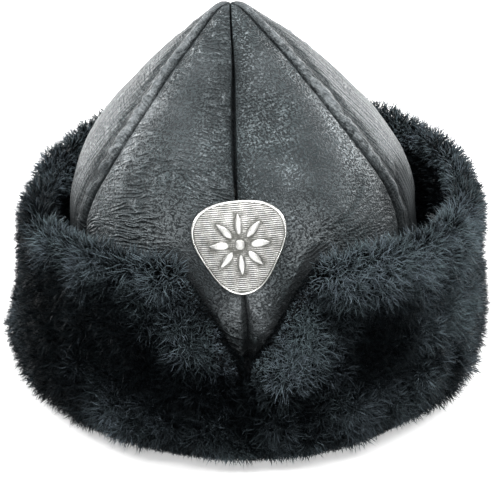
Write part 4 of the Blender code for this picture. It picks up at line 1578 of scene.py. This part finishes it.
def floor_material():
    """A plain white floor, which shines more far away, where the lamps don't reach it."""
    made, tree = new_material("white_floor")
    inputs = {
        "Base Color": (0.93, 0.93, 0.93, 1),
        "Roughness": 0.9,
        "Specular IOR Level": 0.1,
        "Emission Color": (1, 1, 1, 1),
        "Emission Strength": remap(vector_maths("LENGTH", object_place(tree)), 1.1, 2.8, 0.38, 1.0),
    }
    return shaded(made, inputs)


def make_floor():
    """The pale floor that the hat stands on."""
    corners = np.array([(-1, -1, 0), (1, -1, 0), (1, 1, 0), (-1, 1, 0)]) * FLOOR_HALF_SIZE
    object_of("floor", mesh_from("floor", corners, [(0, 1, 2, 3)]), floor_material())


def link_facing(name, data, place, target):
    """An object that faces a target, as lights and cameras do."""
    made = bpy.data.objects.new(name, data)
    bpy.context.scene.collection.objects.link(made)
    made.location = place
    made.rotation_mode = "QUATERNION"
    made.rotation_quaternion = (target - Vector(place)).to_track_quat("-Z", "Y")
    return made


def make_lights():
    """A dim white surround, key lights in front and above, and soft boxes at the sides and behind."""
    world = bpy.data.worlds.new("studio")
    world.use_nodes = True
    set_inputs(world.node_tree.nodes["Background"], {"Color": (1, 1, 1, 1), "Strength": 0.12})
    bpy.context.scene.world = world
    for name, place, width, height, power in LIGHTS:
        data = bpy.data.lights.new(name, "AREA")
        data.shape = "RECTANGLE"
        data.size, data.size_y = width, height
        data.energy = power
        link_facing(name, data, place, LIGHT_TARGET)


def make_camera():
    """The camera at the photo's height and distance."""
    data = bpy.data.cameras.new("camera")
    data.sensor_width = SENSOR_WIDTH
    data.sensor_fit = "HORIZONTAL"
    data.lens = FOCAL_PIXELS * SENSOR_WIDTH / PHOTO_WIDTH
    tilt = math.radians(CAMERA_ELEVATION)
    back = Vector((0, -math.cos(tilt), math.sin(tilt)))
    place = CAMERA_TARGET + back * CAMERA_DISTANCE
    bpy.context.scene.camera = link_facing("camera", data, place, CAMERA_TARGET)


make_camera()
make_lights()
make_floor()

leather = leather_material()
for panel_index in range(len(PANELS)):
    make_panel(panel_index, leather)

hide = hide_material()
make_hide(-1, hide)
make_hide(1, hide)

fur = fur_material()
strands = fur_tree()
for sector_index in range(len(FUR_SECTORS)):
    make_fur(sector_index, strands, fur)

silver = silver_material()
make_badge_plate(silver)
make_hatching(silver)
make_rosette(silver)
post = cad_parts["badge_post"].data
post.materials.clear()
post.materials.append(silver)

bpy.context.scene.view_settings.view_transform = "Standard"
